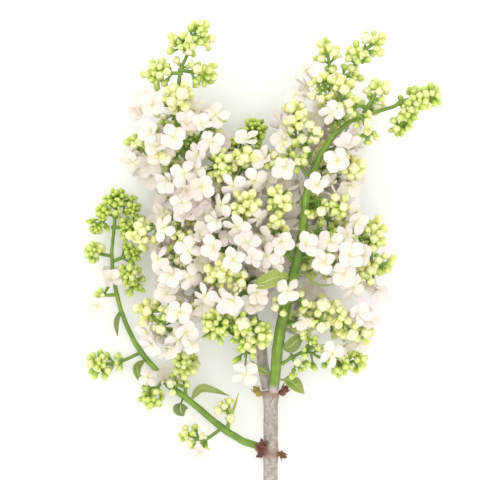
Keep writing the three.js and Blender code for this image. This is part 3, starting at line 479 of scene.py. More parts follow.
def buildStemMaterial():
    # green shoots: streaks along the shoot and soft patches of deeper green, and bark where they turn to wood
    material, tree, shader = startMaterial("greenShoot", 0.45)
    split = addNode(tree, "SeparateXYZ", {"Vector": addNode(tree, "UVMap", {}).outputs["UV"]}).outputs
    lines = streaks(tree, split["Y"], split["X"], *stemLook["streaks"])
    colour = mixColours(tree, times(tree, lines, 0.45), stemLook["green"], stemLook["pale"])
    colour, grain = mottle(tree, colour, *stemLook["mottle"])
    skin, roughSkin = mottle(tree, stemLook["bark"], *stemLook["barkMottle"])
    uneven = calculate(tree, "MULTIPLY_ADD", roughSkin, 0.9, -0.75)
    woody = calculate(tree, "MULTIPLY_ADD", attributes(tree, "bark")[0], 1.6, uneven)
    colour = mixColours(tree, remap(tree, woody, 0.3, 0.6), colour, skin)
    height = calculate(tree, "ADD", times(tree, lines, 0.6), times(tree, grain, 0.4))
    coat(tree, shader, colour, height, *stemLook["bump"])
    return material


barkLook = dict(
    skin="#bab1a8", shade="#867c74", speck="#60564f", scar="#8a6650", wood="#d9cfae", pith="#efe8d2",
    mottle=("#867c74", 430.0, 0.8), bump=(0.6, 0.4), cracks=(1400.0, 260.0, 1400.0), speckScale=1050.0,
    nodes=[0.060, 0.0905], nodeReach=(0.0035, 0.0005),
    cut=dict(x=0.0005, z=0.00347, level=-0.00985, rim=0.00315, pith=(0.0009, 0.0007), rings=9000.0))


def barkScars(tree, colour, along, grain):
    # browner at the nodes
    for level in barkLook["nodes"]:
        away = calculate(tree, "ABSOLUTE", calculate(tree, "SUBTRACT", along, level))
        near = remap(tree, away, *barkLook["nodeReach"], 0.75)
        broken = times(tree, near, calculate(tree, "ADD", grain, 0.35, clamp=True))
        colour = mixColours(tree, broken, colour, barkLook["scar"])
    return colour


def cutEnd(tree, colour, split):
    # the cut end, with its rings and its pith inside a rim of bark
    cut = barkLook["cut"]
    across, above = (calculate(tree, "SUBTRACT", split[axis], cut[axis.lower()]) for axis in "XZ")
    off = calculate(tree, "ADD", times(tree, across, across), times(tree, above, above))
    off = calculate(tree, "SQRT", off)
    rings = calculate(tree, "SINE", times(tree, off, cut["rings"]))
    darker = calculate(tree, "MULTIPLY_ADD", rings, 0.18, 0.2)
    wood = mixColours(tree, darker, barkLook["wood"], barkLook["shade"])
    wood = mixColours(tree, remap(tree, off, *cut["pith"]), wood, barkLook["pith"])
    inside = calculate(tree, "LESS_THAN", off, cut["rim"])
    atEnd = calculate(tree, "LESS_THAN", split["Y"], cut["level"])
    return mixColours(tree, times(tree, atEnd, inside), colour, wood)


def buildBarkMaterial():
    # pale bark with dark specks and fine lengthwise cracks
    material, tree, shader = startMaterial("paleBark", 0.85)
    place = addNode(tree, "TexCoord", {}).outputs["Object"]
    split = addNode(tree, "SeparateXYZ", {"Vector": place}).outputs
    colour, grain = mottle(tree, barkLook["skin"], *barkLook["mottle"])
    drawnOut = addNode(tree, "Mapping", {"Vector": place, "Scale": barkLook["cracks"]}).outputs["Vector"]
    cracks = remap(tree, noiseAt(tree, drawnOut, 1.0, 4.0), 0.55, 0.7, 0.6)
    colour = mixColours(tree, cracks, colour, barkLook["shade"])
    spots = addNode(tree, "TexVoronoi", {"Vector": place, "Scale": barkLook["speckScale"], "Randomness": 1.0})
    specks = remap(tree, spots.outputs["Distance"], 0.32, 0.18, 0.7)
    colour = mixColours(tree, specks, colour, barkLook["speck"])
    colour = cutEnd(tree, barkScars(tree, colour, split["Y"], grain), split)
    height = calculate(tree, "SUBTRACT", times(tree, grain, 0.8), cracks)
    height = calculate(tree, "SUBTRACT", height, times(tree, specks, 0.5))
    coat(tree, shader, colour, height, *barkLook["bump"])
    return material


scaleLook = dict(
    stops=[(0.0, "#8c6048"), (0.25, "#68332b"), (0.7, "#4c201e"), (1.0, "#8a4e3c")],
    edge="#a87058", tint="#c6bf38", mottle=("#4a2220", 500.0, 0.3), streaks=(5.0, 1.2), bump=(0.4, 0.15))


def buildScaleMaterial():
    # reach runs from the foot of a scale to its tip, side across it, tone turns it from brown to green
    material, tree, shader = startMaterial("budScale", 0.45)
    reach, side, tone = attributes(tree, "reach", "side", "tone")
    rim = remap(tree, calculate(tree, "ABSOLUTE", side), 0.6, 1.0, 0.7)
    colour = mixColours(tree, rim, colourRamp(tree, reach, scaleLook["stops"]), scaleLook["edge"])
    colour = mixColours(tree, times(tree, tone, 0.75), colour, scaleLook["tint"])
    lines = streaks(tree, side, reach, *scaleLook["streaks"])
    colour, grain = mottle(tree, colour, *scaleLook["mottle"])
    coat(tree, shader, colour, calculate(tree, "ADD", lines, grain), *scaleLook["bump"])
    return material


leafLook = dict(light="#a4b352", dark="#4f6531", vein="#c3cb86", rib=0.05, sideVeins=7.0, slant=0.15,
                mottle=("#6f8339", 140.0, 0.5), bump=(0.5, 0.2))


def buildLeafMaterial():
    # along runs from the stalk to the tip, side across the blade, tone from dark green to olive yellow
    material, tree, shader = startMaterial("lilacLeaf", 0.42)
    along, side, tone = attributes(tree, "along", "side", "tone")
    out = calculate(tree, "ABSOLUTE", side)
    colour = mixColours(tree, tone, leafLook["dark"], leafLook["light"])
    colour, grain = mottle(tree, colour, *leafLook["mottle"])
    colour = mixColours(tree, remap(tree, out, 0.82, 1.0, 0.35), colour, leafLook["vein"])
    path = calculate(tree, "SUBTRACT", along, times(tree, out, leafLook["slant"]))
    wave = calculate(tree, "PINGPONG", times(tree, path, leafLook["sideVeins"]), 0.5)
    rib = remap(tree, out, leafLook["rib"] * 2, leafLook["rib"])
    veins = calculate(tree, "MAXIMUM", remap(tree, wave, 0.07, 0.0, 0.5), rib)
    colour = mixColours(tree, times(tree, veins, 0.6), colour, leafLook["vein"])
    height = calculate(tree, "SUBTRACT", times(tree, grain, 0.3), veins)
    coat(tree, shader, colour, height, *leafLook["bump"])
    return material


petalMaterial = buildPetalMaterial()
barkMaterial = buildBarkMaterial()
scaleMaterial = buildScaleMaterial()
leafMaterial = buildLeafMaterial()
budMaterial = buildBudMaterial()
stemMaterial = buildStemMaterial()
print("materials")


# the table

tableLook = dict(size=6, cuts=3, colour="#fbfbfa", mottle=("#f8f8f7", 4.0, 0.5))


def buildTable():
    bpy.ops.mesh.primitive_plane_add(size=1, location=(0, 0, 0))
    table = activeObject()
    editMode(table)
    selectMesh()
    widen(tableLook["size"], (0, 0, 0))
    bpy.ops.mesh.subdivide(number_cuts=tableLook["cuts"])
    objectMode()
    table.name = "table"
    material, tree, shader = startMaterial("paleTable", 0.8)
    connect(tree, shader["Base Color"], mottle(tree, tableLook["colour"], *tableLook["mottle"])[0])
    table.data.materials.append(material)


buildTable()


# buds: a calyx, a tube and a four-folded head, modelled once in each ripeness; rings are (height, radius)

budShapes = {
    "greenBud": dict(fold=0.9, rings=[
        (-1.75, 0.0), (-1.7, 0.42), (-1.2, 0.66), (-1.08, 0.58), (-0.55, 0.86), (0.05, 1.0), (0.6, 0.78),
        (0.98, 0.36), (1.08, 0.0)]),
    "creamBud": dict(fold=0.92, rings=[
        (-2.35, 0.0), (-2.3, 0.4), (-1.85, 0.55), (-1.75, 0.4), (-0.85, 0.5), (-0.15, 0.93), (0.35, 0.99),
        (0.75, 0.7), (0.98, 0.32), (1.04, 0.0)]),
}
budFolds = dict(above=-0.6, width=0.05)


def onFold(co):
    return co.z > budFolds["above"] and isAt(abs(co.x), abs(co.y), budFolds["width"])


def makeBud(name, rings, fold):
    bpy.ops.mesh.primitive_uv_sphere_add(segments=8, ring_count=len(rings) - 1, radius=1, location=(0, 0, 0))
    bud = activeObject()
    bud.name = name
    editMode(bud)
    shapeRings(bud, rings)
    pickVerts(bud, lambda co: onFold(co) and abs(co.x) > budFolds["width"])
    widen(fold, (0, 0, 0))
    objectMode()
    bpy.ops.object.shade_smooth()
    low, high = rings[0][0], rings[-1][0]
    setValues(bud, along=lambda co: (co.z - low) / (high - low),
              groove=lambda co: float(onFold(co) and co.x != 0), tone=lambda co: 0.5)
    bud.hide_render = True
    return bud


buds = {name: makeBud(name, **shape) for name, shape in budShapes.items()}


# florets: four petals round a throat, modelled once at each stage of opening

floretShapes = {
    "flatFloret": dict(lift=4, curl=-0.03, side=0.07, breadth=0.42, roll=9),
    "broadFloret": dict(lift=8, curl=0.08, side=0.10, breadth=0.46, roll=7),
    "cuppedFloret": dict(lift=18, curl=0.12, side=0.15, breadth=0.43, roll=7),
    "deepFloret": dict(lift=30, curl=0.02, side=0.17, breadth=0.41, roll=10),
    "wavyFloret": dict(lift=16, curl=-0.26, side=-0.10, breadth=0.42, roll=14),
    "backFloret": dict(lift=10, curl=-0.40, side=-0.12, breadth=0.40, roll=10),
    "halfFloret": dict(lift=44, curl=0.14, side=0.18, breadth=0.42, roll=12),
}
petalRows = [(0.04, 0.34), (0.28, 0.6), (0.58, 1.0), (0.84, 0.8), (1.0, 0.16)]  # reach, share of the breadth
petalShape = dict(tuck=0.05, thickness=0.025, smooth=55)
petalVariety = dict(turn=11, lift=9, length=0.14, breadth=0.1)
throatShape = dict(sides=6, foot=0.10, mouth=0.14, depth=0.2, sunk=0.09)
# a ring of the tube is its place along it and the share of the width that it keeps there
tubeShape = dict(sides=6, foot=0.8, mouth=1.0, rings=[(0.14, 1.45), (0.22, 0.85), (0.8, 0.95)])


def thickenPetal(petal):
    # a second skin below the first, joined to it along the rim
    under = copyTo(petal, Matrix.Identity(4))
    editMode(under)
    selectMesh()
    bpy.ops.mesh.flip_normals()
    pickVerts(under, lambda co: isAt(co.x, 0) and 0.1 < co.y < 0.98)
    moveBy(0, 0, -petalShape["thickness"])
    objectMode()
    petal = joinAs("petal", [petal, under])
    editMode(petal)
    selectMesh()
    bpy.ops.mesh.remove_doubles(threshold=1e-4)
    objectMode()
    return petal


def makePetal(shape):
    bpy.ops.mesh.primitive_grid_add(x_subdivisions=2, y_subdivisions=4, size=2, location=(0, 0, 0))
    petal = activeObject()

    def raiseSides(share, inRow):
        pickVerts(petal, lambda co: inRow(co) and not isAt(co.x, 0))
        moveBy(0, -petalShape["tuck"] * share, shape["side"] * share)

    editMode(petal)
    narrowRows(petal, petalRows, shape["breadth"], lambda reach: shape["curl"] * reach * reach, raiseSides)
    objectMode()
    setValues(petal, reach=lambda co: co.y, side=lambda co: co.x / shape["breadth"])
    petal = thickenPetal(petal)
    for angle, axis in ((shape["roll"], "Y"), (shape["lift"], "X")):
        petal.data.transform(Matrix.Rotation(math.radians(angle), 4, axis))
    return petal


def makeCone(sides, foot, mouth, depth, middle):
    bpy.ops.mesh.primitive_cone_add(vertices=sides, radius1=foot, radius2=mouth, depth=depth,
                                    end_fill_type="NGON", location=(0, 0, middle))
    makeActive(activeObject())
    bpy.ops.object.transform_apply()
    return activeObject()


def makeFloret(name, shape):
    draw = random.Random(name)
    petal = makePetal(shape)
    petals = []
    for quarter in range(4):
        length = 1 - petalVariety["length"] * draw.random()
        breadth = 1 + petalVariety["breadth"] * draw.uniform(-1, 1)
        lean = math.radians(petalVariety["lift"]) * draw.uniform(-1, 1)
        turn = math.radians(90 * quarter + petalVariety["turn"] * draw.uniform(-1, 1))
        stand = Matrix.Rotation(turn, 4, "Z") @ Matrix.Rotation(lean, 4, "X")
        petals.append(copyTo(petal, stand @ Matrix.Diagonal((breadth, length, 1, 1))))
    bpy.data.objects.remove(petal)
    size = throatShape
    throat = makeCone(size["sides"], size["foot"], size["mouth"], size["depth"], -size["sunk"])
    setValues(throat, reach=lambda co: 0.0 if co.z > 0 else -0.1, side=lambda co: 0.0)
    floret = joinAs(name, [*petals, throat])
    smoothUnder(petalShape["smooth"])
    floret.hide_render = True
    return floret


def makeTube():
    # from the calyx at 0 to the throat at 1, along Z, wider at its mouth
    tube = makeCone(tubeShape["sides"], tubeShape["foot"], tubeShape["mouth"], 1, 0.5)
    editMode(tube)
    for place, share in tubeShape["rings"]:
        selectMesh()
        bpy.ops.mesh.bisect(plane_co=(0, 0, place), plane_no=(0, 0, 1))
        pickVerts(tube, lambda co: isAt(co.z, place, 1e-3))
        widen(share, (0, 0, place))
    objectMode()
    setValues(tube, reach=lambda co: co.z - 1, side=lambda co: 0.0)
    bpy.ops.object.shade_smooth()
    tube.hide_render = True
    return tube


florets = {name: makeFloret(name, shape) for name, shape in floretShapes.items()}
floretTube = makeTube()
masters = [*buds.values(), *florets.values(), floretTube]
print("buds and florets")


# the sprays: how ripe each one is, how many more florets it opens beside each listed one, and its tufts

def tuft(path, aim, radius, florets=(), ripe=None, bare=False):
    # where its stalk runs, where it faces and how big it is; each open floret is its throat (x, y, z), its
    # axis (x, y, z), radius, lift and turn; a bare one has no buds
    return dict(path=path, aim=aim, radius=radius, florets=florets, ripe=ripe, bare=bare)


sprays = {
    "right_spray_tip": dict(ripe=0.4, more=1, tufts=[
        tuft([(62.4, 234.9, 43.9), (68.5, 238, 43), (74, 237.5, 47)], (0.1, 0.2, 0.98), 6.5),
        tuft([(74, 237.5, 47), (80.5, 240, 45)], (0.92, 0.09, 0.37), 6),
        tuft([(64.6, 236.1, 43.6), (68.5, 231.5, 45)], (0, -0.51, 0.86), 5.5),
        tuft([(68.5, 231.5, 45), (64.5, 224.5, 42)], (-0.46, -0.81, -0.35), 5),
        tuft([(68.5, 238, 43), (73, 240, 37)], (0.58, 0.26, -0.77), 5)]),
    "right_spray_upper": dict(ripe=0.7, more=1, tufts=[
        tuft([(47.1, 232.2, 46.8), (54, 243, 46)], (0.54, 0.84, -0.06), 6.5),
        tuft([(48.4, 234.3, 46.7), (52, 236, 33)], (0.25, 0.12, -0.96), 6),
        tuft([(48.4, 234.3, 46.7), (39.5, 235, 55)], (0, 0.29, 0.96), 5.5),
        tuft([(39.5, 235, 55), (47.5, 226, 55.5)], (0.2, 0, 0.98), 5.5),
        tuft([(47.5, 226, 55.5), (48.5, 218, 49)], (0.1, -0.77, -0.63), 5)]),
    "right_spray_top": dict(ripe=0.55, more=1, tufts=[
        tuft([(30.6, 222.7, 49.3), (30.5, 234, 45), (31, 247, 42), (41, 250.5, 37)], (0.85, 0.3, -0.43), 6),
        tuft([(31, 247, 42), (28.5, 262.5, 43)], (-0.16, 0.99, 0.06), 7),
        tuft([(41, 250.5, 37), (44, 261, 42)], (0.25, 0.87, 0.42), 6),
        tuft([(44, 261, 42), (52.5, 266.5, 41)], (0.84, 0.54, -0.1), 6.5)]),
    "right_spray_crown": dict(ripe=0.8, more=4, tufts=[
        tuft([(34.3, 225.8, 49.8), (35, 244, 51.5)], (0.04, 0.99, 0.1), 7.5),
        tuft([(35, 244, 51.5), (23.5, 247, 49)], (-0.95, 0.25, -0.21), 5.5, florets=[
            (17.5, 252, 45, -0.6, 0.59, -0.53, 7, 0.06, 51)]),
        tuft([(23.5, 247, 49), (25.5, 238.5, 53)], (-0.2, 0, 0.98), 5.5, florets=[
            (30.4, 231, 59.9, 0.43, -0.84, 0.34, 6.5, 0.04, 30)]),
        tuft([(34.4, 228.3, 50), (34, 229, 30)], (-0.02, 0.04, -1), 6, florets=[
            (32.7, 225, 18.8, -0.03, -0.4, -0.91, 7, 0.15, 30),
            (40.8, 234, 21.5, 0.63, 0.42, -0.65, 7, 0.18, 38),
            (23.6, 230.8, 24.2, -0.82, 0.19, -0.53, 7, 0.04, 20)])]),
    "right_spray_left_top": dict(ripe=0.9, more=6, tufts=[
        tuft([(20.2, 206.8, 54.2), (16, 218, 53)], (0, 0, 1), 4.5, florets=[
            (7, 217.5, 56, -0.94, -0.06, 0.33, 7, 0.24, 16)]),
        tuft([(16, 218, 53), (13, 232, 50.5)], (-0.21, 0.96, -0.17), 7.5, ripe=1.2, florets=[
            (13, 240.5, 48, -0.05, 0.95, -0.3, 7, 0.07, 57), (5, 226, 49, -0.81, -0.56, -0.15, 7, 0.11, 6)]),
        tuft([(16, 218, 53), (22.5, 221.5, 56.5)], (0, 0, 1), 4.5, ripe=4),
        tuft([(15.2, 222, 52), (11.5, 226.5, 57)], (-0.2, 0.1, 1), 6),
        tuft([(16, 218, 53), (9.5, 220, 51)], (-0.9, 0.2, 0.4), 4.5)]),
    "right_spray_middle": dict(ripe=0.75, more=4, tufts=[
        tuft([(27.2, 210, 52.6), (32, 208, 52), (40.5, 204, 53)], (0.37, 0, 0.93), 7.5, florets=[
            (38.5, 215, 56, -0.13, 0.95, 0.28, 7, 0.22, 90),
            (39.5, 195.5, 55, -0.13, -0.96, 0.25, 7, 0.23, 52),
            (33, 207, 62, -0.57, 0.22, 0.79, 7, 0.05, 10)]),
        tuft([(29.5, 209, 52.3), (30, 213, 47)], (0.08, 0.6, -0.8), 4, bare=True, florets=[
            (37.6, 211.2, 37.9, 0.58, -0.26, -0.77, 7, 0.05, 39)]),
        tuft([(30, 213, 47), (26, 210, 27)], (-0.19, -0.15, -0.97), 6, florets=[
            (21.6, 204.6, 17.3, -0.48, -0.39, -0.78, 7, 0.15, 62),
            (32.2, 210.9, 16.8, 0.53, 0.2, -0.83, 7, 0.12, 60),
            (15.7, 213.9, 22.3, -0.9, 0.31, -0.31, 7, 0.12, 50)]),
        tuft([(26, 210, 27), (29, 200, 28)], (0.29, -0.95, 0.1), 6, florets=[
            (33.6, 189.4, 24.8, 0.44, -0.87, -0.23, 7, 0.11, 17),
            (24.3, 190.1, 33, -0.27, -0.83, 0.48, 7, 0.25, 55),
            (40.4, 197.4, 30.8, 0.97, -0.16, 0.19, 7, 0.12, 55)])]),
    "right_spray_left_middle": dict(ripe=0.55, more=5, tufts=[
        tuft([(17.7, 200.5, 55.3), (14, 206.5, 55.5)], (-0.19, 0.19, 0.96), 5.5, florets=[
            (7.5, 204, 63, -0.63, -0.3, 0.71, 7, 0.17, 1),
            (9.6, 210.2, 49.5, -0.29, 0.23, -0.93, 5.7, 0.23, 67)]),
        tuft([(14, 206.5, 55.5), (1, 206, 55)], (-0.29, 0, 0.96), 4.5, florets=[
            (-3, 208, 56, -0.84, 0.48, 0.26, 7, 0.12, 83)]),
        tuft([(14, 206.5, 55.5), (8, 213, 55)], (-0.4, 0.5, 0.75), 4.5)]),
    "right_spray_right": dict(ripe=0.6, more=4, tufts=[
        tuft([(20, 187.2, 54.7), (26, 187, 54), (35, 184, 56.5)], (0.29, 0, 0.96), 7, florets=[
            (30.1, 195.8, 57.5, -0.47, 0.88, -0.1, 5.4, 0.12, 64),
            (42.5, 177, 56, 0.72, -0.7, 0, 7, 0.11, 25)]),
        tuft([(22.5, 187.1, 54.4), (24.5, 182, 60)], (0, 0, 1), 4.5, florets=[
            (22.6, 195.2, 64.1, -0.19, 0.88, 0.44, 6.4, 0.06, 8)]),
        tuft([(22.5, 187.1, 54.4), (18, 184, 22)], (-0.14, -0.09, -0.99), 6, florets=[
            (14.3, 186.9, 11, -0.4, 0.21, -0.89, 7, 0.15, 73),
            (15, 175.1, 14.6, -0.19, -0.73, -0.65, 7, 0.05, 30),
            (25.3, 188.9, 14.8, 0.66, 0.41, -0.63, 6.7, 0.09, 16)]),
        tuft([(18, 184, 22), (34, 176, 24)], (0.89, -0.44, 0.11), 6, florets=[
            (45.6, 174.9, 26.9, 0.95, -0.04, 0.32, 7, 0.02, 2),
            (40.7, 168.5, 17.4, 0.59, -0.67, -0.46, 7, 0.06, 49),
            (37, 171.2, 34.6, 0.24, -0.43, 0.87, 7, 0.21, 80)])]),
    "right_spray_outer_low": dict(ripe=0.6, more=1, tufts=[
        tuft([(19, 171.8, 53), (32, 172, 50), (51, 168, 45)], (0.95, -0.2, -0.25), 7.5, florets=[
            (37.9, 170.1, 59.5, -0.76, -0.17, 0.63, 5.9, 0.09, 66),
            (44.5, 161.5, 57, -0.46, -0.53, 0.71, 7, 0.02, 29)]),
        tuft([(51, 168, 45), (50.5, 155, 43)], (-0.04, -0.99, -0.15), 7.5, florets=[
            (53.5, 143, 42, 0.26, -0.96, -0.03, 7, 0.16, 33)]),
        tuft([(51, 168, 45), (53.5, 176, 44)], (0.2, 0.9, 0.3), 4.5),
        tuft([(50.5, 155, 43), (59, 156.5, 44)], (0.95, 0.1, 0.3), 5),
        tuft([(50.5, 155, 43), (45.5, 149, 47)], (-0.4, -0.6, 0.7), 4.5)]),
    "right_spray_low": dict(ripe=0.7, more=2, tufts=[
        tuft([(17.1, 159.5, 52.1), (23, 160, 54), (33, 156, 50)],
             (0.87, -0.35, -0.35), 6.5, bare=True, florets=[
            (29, 167, 61, -0.36, 0.64, 0.68, 7, 0.06, 0), (26.5, 157, 64, -0.33, 0.07, 0.94, 7, 0.17, 67),
            (36, 151, 60, 0.27, -0.32, 0.91, 7, 0.08, 61), (41, 144, 52, 0.63, -0.78, 0.08, 7, 0.14, 55),
            (32.8, 149.4, 53.8, 0.32, -0.67, 0.67, 5.4, 0.05, 69),
            (35.8, 155, 38.4, 0.15, -0.01, -0.99, 7, 0.17, 3)]),
        tuft([(19.4, 159.7, 52.9), (14, 158, 18)], (-0.15, -0.05, -0.99), 6, florets=[
            (10.5, 153.3, 7.5, -0.35, -0.29, -0.89, 7, 0.16, 11),
            (20.2, 161, 8.2, 0.59, 0.3, -0.75, 7, 0.2, 16),
            (3.3, 161, 13.4, -0.85, 0.32, -0.42, 7, 0.05, 60)]),
        tuft([(14, 158, 18), (32, 152, 22), (36, 150, 7.4)], (0.1, 0, -1), 6.5)]),
    "right_spray_foot": dict(ripe=0.8, more=3, tufts=[
        tuft([(9.2, 126, 40.4), (17, 126.5, 44), (26, 135, 50)], (0, 0.29, 0.96), 6.5),
        tuft([(26, 135, 50), (35, 131.5, 50)], (0.2, 0, 0.98), 7, florets=[
            (43.5, 131.5, 55, 0.85, 0.01, 0.53, 7, 0.17, 16)]),
        tuft([(35, 131.5, 50), (40, 122, 45)], (0.27, -0.36, 0.89), 6.5),
        tuft([(40, 122, 45), (48.5, 122, 41)], (0.9, 0, -0.43), 6, florets=[
            (48.5, 129, 44, 0.04, 0.91, 0.42, 7, 0.08, 4)]),
        tuft([(26, 135, 50), (25, 125, 53)], (0, 0, 1), 4),
        tuft([(11.5, 126.2, 41.5), (17, 130, 18)], (0.23, 0.16, -0.96), 6, florets=[
            (19.9, 127.3, 6.7, 0.22, -0.22, -0.95, 7, 0.21, 14),
            (23.9, 137.7, 12, 0.5, 0.71, -0.5, 7, 0.21, 60),
            (8.4, 129.6, 9.7, -0.69, -0.13, -0.71, 7, 0.09, 5)]),
        tuft([(17, 130, 18), (36, 124, 22)], (0.93, -0.3, 0.2), 6, florets=[
            (45.1, 116.4, 23.7, 0.7, -0.67, 0.22, 7, 0.07, 13),
            (44.5, 127.1, 29.9, 0.69, 0.32, 0.65, 7, 0.08, 16),
            (43.6, 121.8, 13, 0.66, -0.22, -0.72, 7, 0.1, 83)])]),
    "right_spray_stem_front": dict(ripe=0.7, more=1, tufts=[
        tuft([(11.1, 139.3, 47), (17, 137, 55)], (0, 0, 1), 5, florets=[
            (8.5, 143, 61, -0.68, 0.61, 0.41, 7, 0.08, 81),
            (15.4, 128.4, 52.1, 0.16, -0.98, -0.14, 6.1, 0.13, 9)]),
        tuft([(12.5, 138.7, 49), (3, 134, 50)], (-0.29, 0, 0.96), 5)]),
    "right_spray_lowest": dict(ripe=0.36, more=1, tufts=[
        tuft([(7.1, 106.4, 31.5), (11, 109, 34), (18.5, 112, 36), (26, 108.5, 35), (36, 105.5, 32)],
             (0.92, -0.28, -0.28), 6),
        tuft([(36, 105.5, 32), (44, 107.5, 29)], (0.91, 0.23, -0.34), 6),
        tuft([(18.5, 112, 36), (21.5, 117, 42)], (0.36, 0.6, 0.72), 4, florets=[
            (31, 111, 45, 0.89, -0.4, 0.22, 7, 0.07, 43)]),
        tuft([(11, 109, 34), (15, 103.5, 35)], (0.58, -0.8, 0.15), 3.5)]),
    "right_spray_heart": dict(ripe=0.7, more=4, tufts=[
        tuft([(10.1, 158.4, 51.2), (6.5, 164, 53)], (-0.52, 0.81, 0.27), 4.5, bare=True, florets=[
            (17.2, 166.1, 66, 0.71, 0.08, 0.7, 6.9, 0.1, 71), (-2, 160, 60, -0.71, -0.38, 0.59, 7, 0.09, 44),
            (4.5, 173.5, 45.9, -0.22, 0.77, -0.59, 7, 0.26, 16)]),
        tuft([(6.5, 164, 53), (3, 176, 59)], (0, 0, 1), 6.5, florets=[
            (-6, 171, 44, -0.5, 0, 0.8, 7, 0.14, 30), (9, 170, 45, 0.4, 0.1, 0.9, 7, 0.14, 30),
            (10, 161, 41, 0.2, -0.4, 0.9, 7, 0.14, 30), (5.5, 167.5, 65, 0.32, -0.71, 0.63, 7, 0.09, 45),
            (-2.8, 169.4, 58.3, -0.6, -0.78, -0.15, 7, 0.05, 61)]),
        tuft([(3, 176, 59), (4, 188, 59)], (0, 0, 1), 7.5, florets=[
            (-5, 193, 44, -0.4, 0.3, 0.8, 7, 0.14, 30), (7, 198, 46, 0.1, 0.5, 0.8, 7, 0.14, 30),
            (11, 186, 45, 0.5, 0, 0.8, 7, 0.14, 30), (-3, 181, 45, -0.3, -0.2, 0.9, 7, 0.14, 30)])]),
    "left_spray_tip": dict(ripe=0.55, more=1, tufts=[
        tuft([(-45.3, 249, 37.8), (-44.7, 253, 38), (-41, 262, 38), (-40.5, 268, 43)], (0, 0.2, 0.98), 5.5),
        tuft([(-40.5, 268, 43), (-35, 273.5, 40)], (0.18, 0.88, 0.44), 6.5),
        tuft([(-35, 273.5, 40), (-32.5, 266, 40)], (0.89, 0, 0.45), 5),
        tuft([(-41, 262, 38), (-47.5, 267, 38)], (-0.79, 0.61, 0), 5),
        tuft([(-44.9, 251.5, 37.9), (-56, 251.5, 39)], (-1, 0, 0.1), 7.5),
        tuft([(-44.7, 253, 38), (-33, 251, 39)], (0.98, -0.17, 0.08), 7)]),
    "left_spray_front": dict(ripe=0.75, more=3, tufts=[
        tuft([(-46.8, 234.9, 38.4), (-45.5, 239, 49)], (0, 0.2, 0.98), 8),
        tuft([(-46.5, 235.8, 40.7), (-57.5, 235, 40)], (-1, -0.07, -0.06), 4, bare=True, florets=[
            (-59, 235.5, 48, -0.14, 0.06, 0.99, 7, 0.13, 37)])]),
    "left_spray_outer": dict(ripe=0.55, more=4, tufts=[
        tuft([(-47.5, 221.6, 35.3), (-65, 217, 36)], (-0.97, -0.25, 0.04), 7, florets=[
            (-69, 207, 35, -0.43, -0.9, -0.07, 7, 0.18, 57),
            (-60.5, 206, 42, 0.23, -0.84, 0.5, 7, 0.18, 55)]),
        tuft([(-65, 217, 36), (-58, 221.5, 45)], (-0.29, 0, 0.96), 4.5),
        tuft([(-50, 220.9, 35.4), (-41, 217, 22), (-38, 216, 7.4)], (0.1, 0, -1), 6.5),
        tuft([(-41, 217, 22), (-51, 207, 22)], (-0.71, -0.71, 0), 6, florets=[
            (-56.4, 196.7, 19.1, -0.49, -0.86, -0.16, 7, 0.08, 38),
            (-63, 206.9, 21.5, -1, -0.01, 0.04, 7, 0.05, 75),
            (-50.1, 197.6, 29.5, 0.12, -0.79, 0.61, 7, 0.23, 24)])]),
    "left_spray_white": dict(ripe=0.65, more=6, tufts=[
        tuft([(-45.2, 216.3, 36.3), (-50, 219, 45)], (-0.47, 0.26, 0.84), 6.5, bare=True, florets=[
            (-48.5, 219, 56, 0.04, -0.03, 1, 7, 0.19, 69), (-42, 226, 53, 0.6, 0.54, 0.58, 7, 0.14, 69),
            (-59.2, 221.6, 52.3, -0.76, 0.29, 0.58, 7, 0.15, 46)]),
        tuft([(-50, 219, 45), (-53, 209.5, 51)], (-0.19, -0.19, 0.96), 5, florets=[
            (-56.4, 214.3, 54.8, -0.51, 0.69, 0.51, 6.7, 0.19, 66),
            (-54.3, 210.6, 52.4, -0.57, 0.44, 0.69, 7, 0.04, 18)])]),
    "left_spray_right_white": dict(ripe=0.7, more=5, tufts=[
        tuft([(-41.6, 213.2, 35.3), (-34, 221, 43)], (0.57, 0.59, 0.58), 6.5, bare=True, florets=[
            (-34.2, 225.6, 56.1, 0.29, 0.65, 0.7, 5.6, 0.14, 86),
            (-29.5, 216.5, 55, 0.34, -0.4, 0.85, 7, 0.06, 66),
            (-38.2, 232.1, 44.8, -0.32, 0.93, 0.17, 6.9, 0.13, 80)]),
        tuft([(-34, 221, 43), (-26.5, 227, 42)], (0.78, 0.62, -0.1), 6, florets=[
            (-25, 219, 46, 0.15, -0.87, 0.46, 7, 0.09, 48),
            (-27.3, 230.5, 46, -0.2, 0.69, 0.7, 7, 0.23, 7)])]),
    "left_spray_yellow": dict(ripe=0.45, more=6, tufts=[
        tuft([(-37.2, 199.9, 34.4), (-24, 204.5, 52)], (0, 0, 1), 8, florets=[
            (-36.5, 210.2, 53.4, -0.95, 0.06, 0.31, 6.2, 0.07, 83)]),
        tuft([(-35.7, 200.4, 36.3), (-42, 200, 46)], (-0.54, -0.04, 0.84), 4, bare=True, florets=[
            (-42.5, 201, 57, 0.04, 0.16, 0.99, 7, 0.18, 24), (-50.5, 197, 48, -0.9, -0.36, 0.23, 7, 0.11, 57),
            (-34, 194, 58, 0.46, -0.46, 0.76, 7, 0.09, 79)]),
        tuft([(-35.7, 200.4, 36.3), (-28, 197, 13)], (0.31, -0.14, -0.94), 6, florets=[
            (-24.2, 197.5, 4.1, 0.14, -0.25, -0.96, 5.6, 0.26, 6),
            (-28.7, 188, 5.3, 0.07, -0.62, -0.78, 6.9, 0.13, 49),
            (-17.1, 200.7, 9.7, 0.87, 0.37, -0.33, 7, 0.13, 67)]),
        tuft([(-28, 197, 13), (-43.5, 182, 20)], (-0.68, -0.66, 0.31), 6, florets=[
            (-51.4, 173, 19.2, -0.7, -0.71, -0.13, 7, 0.16, 52),
            (-53, 182.3, 27.3, -0.75, 0.02, 0.66, 7, 0.07, 30),
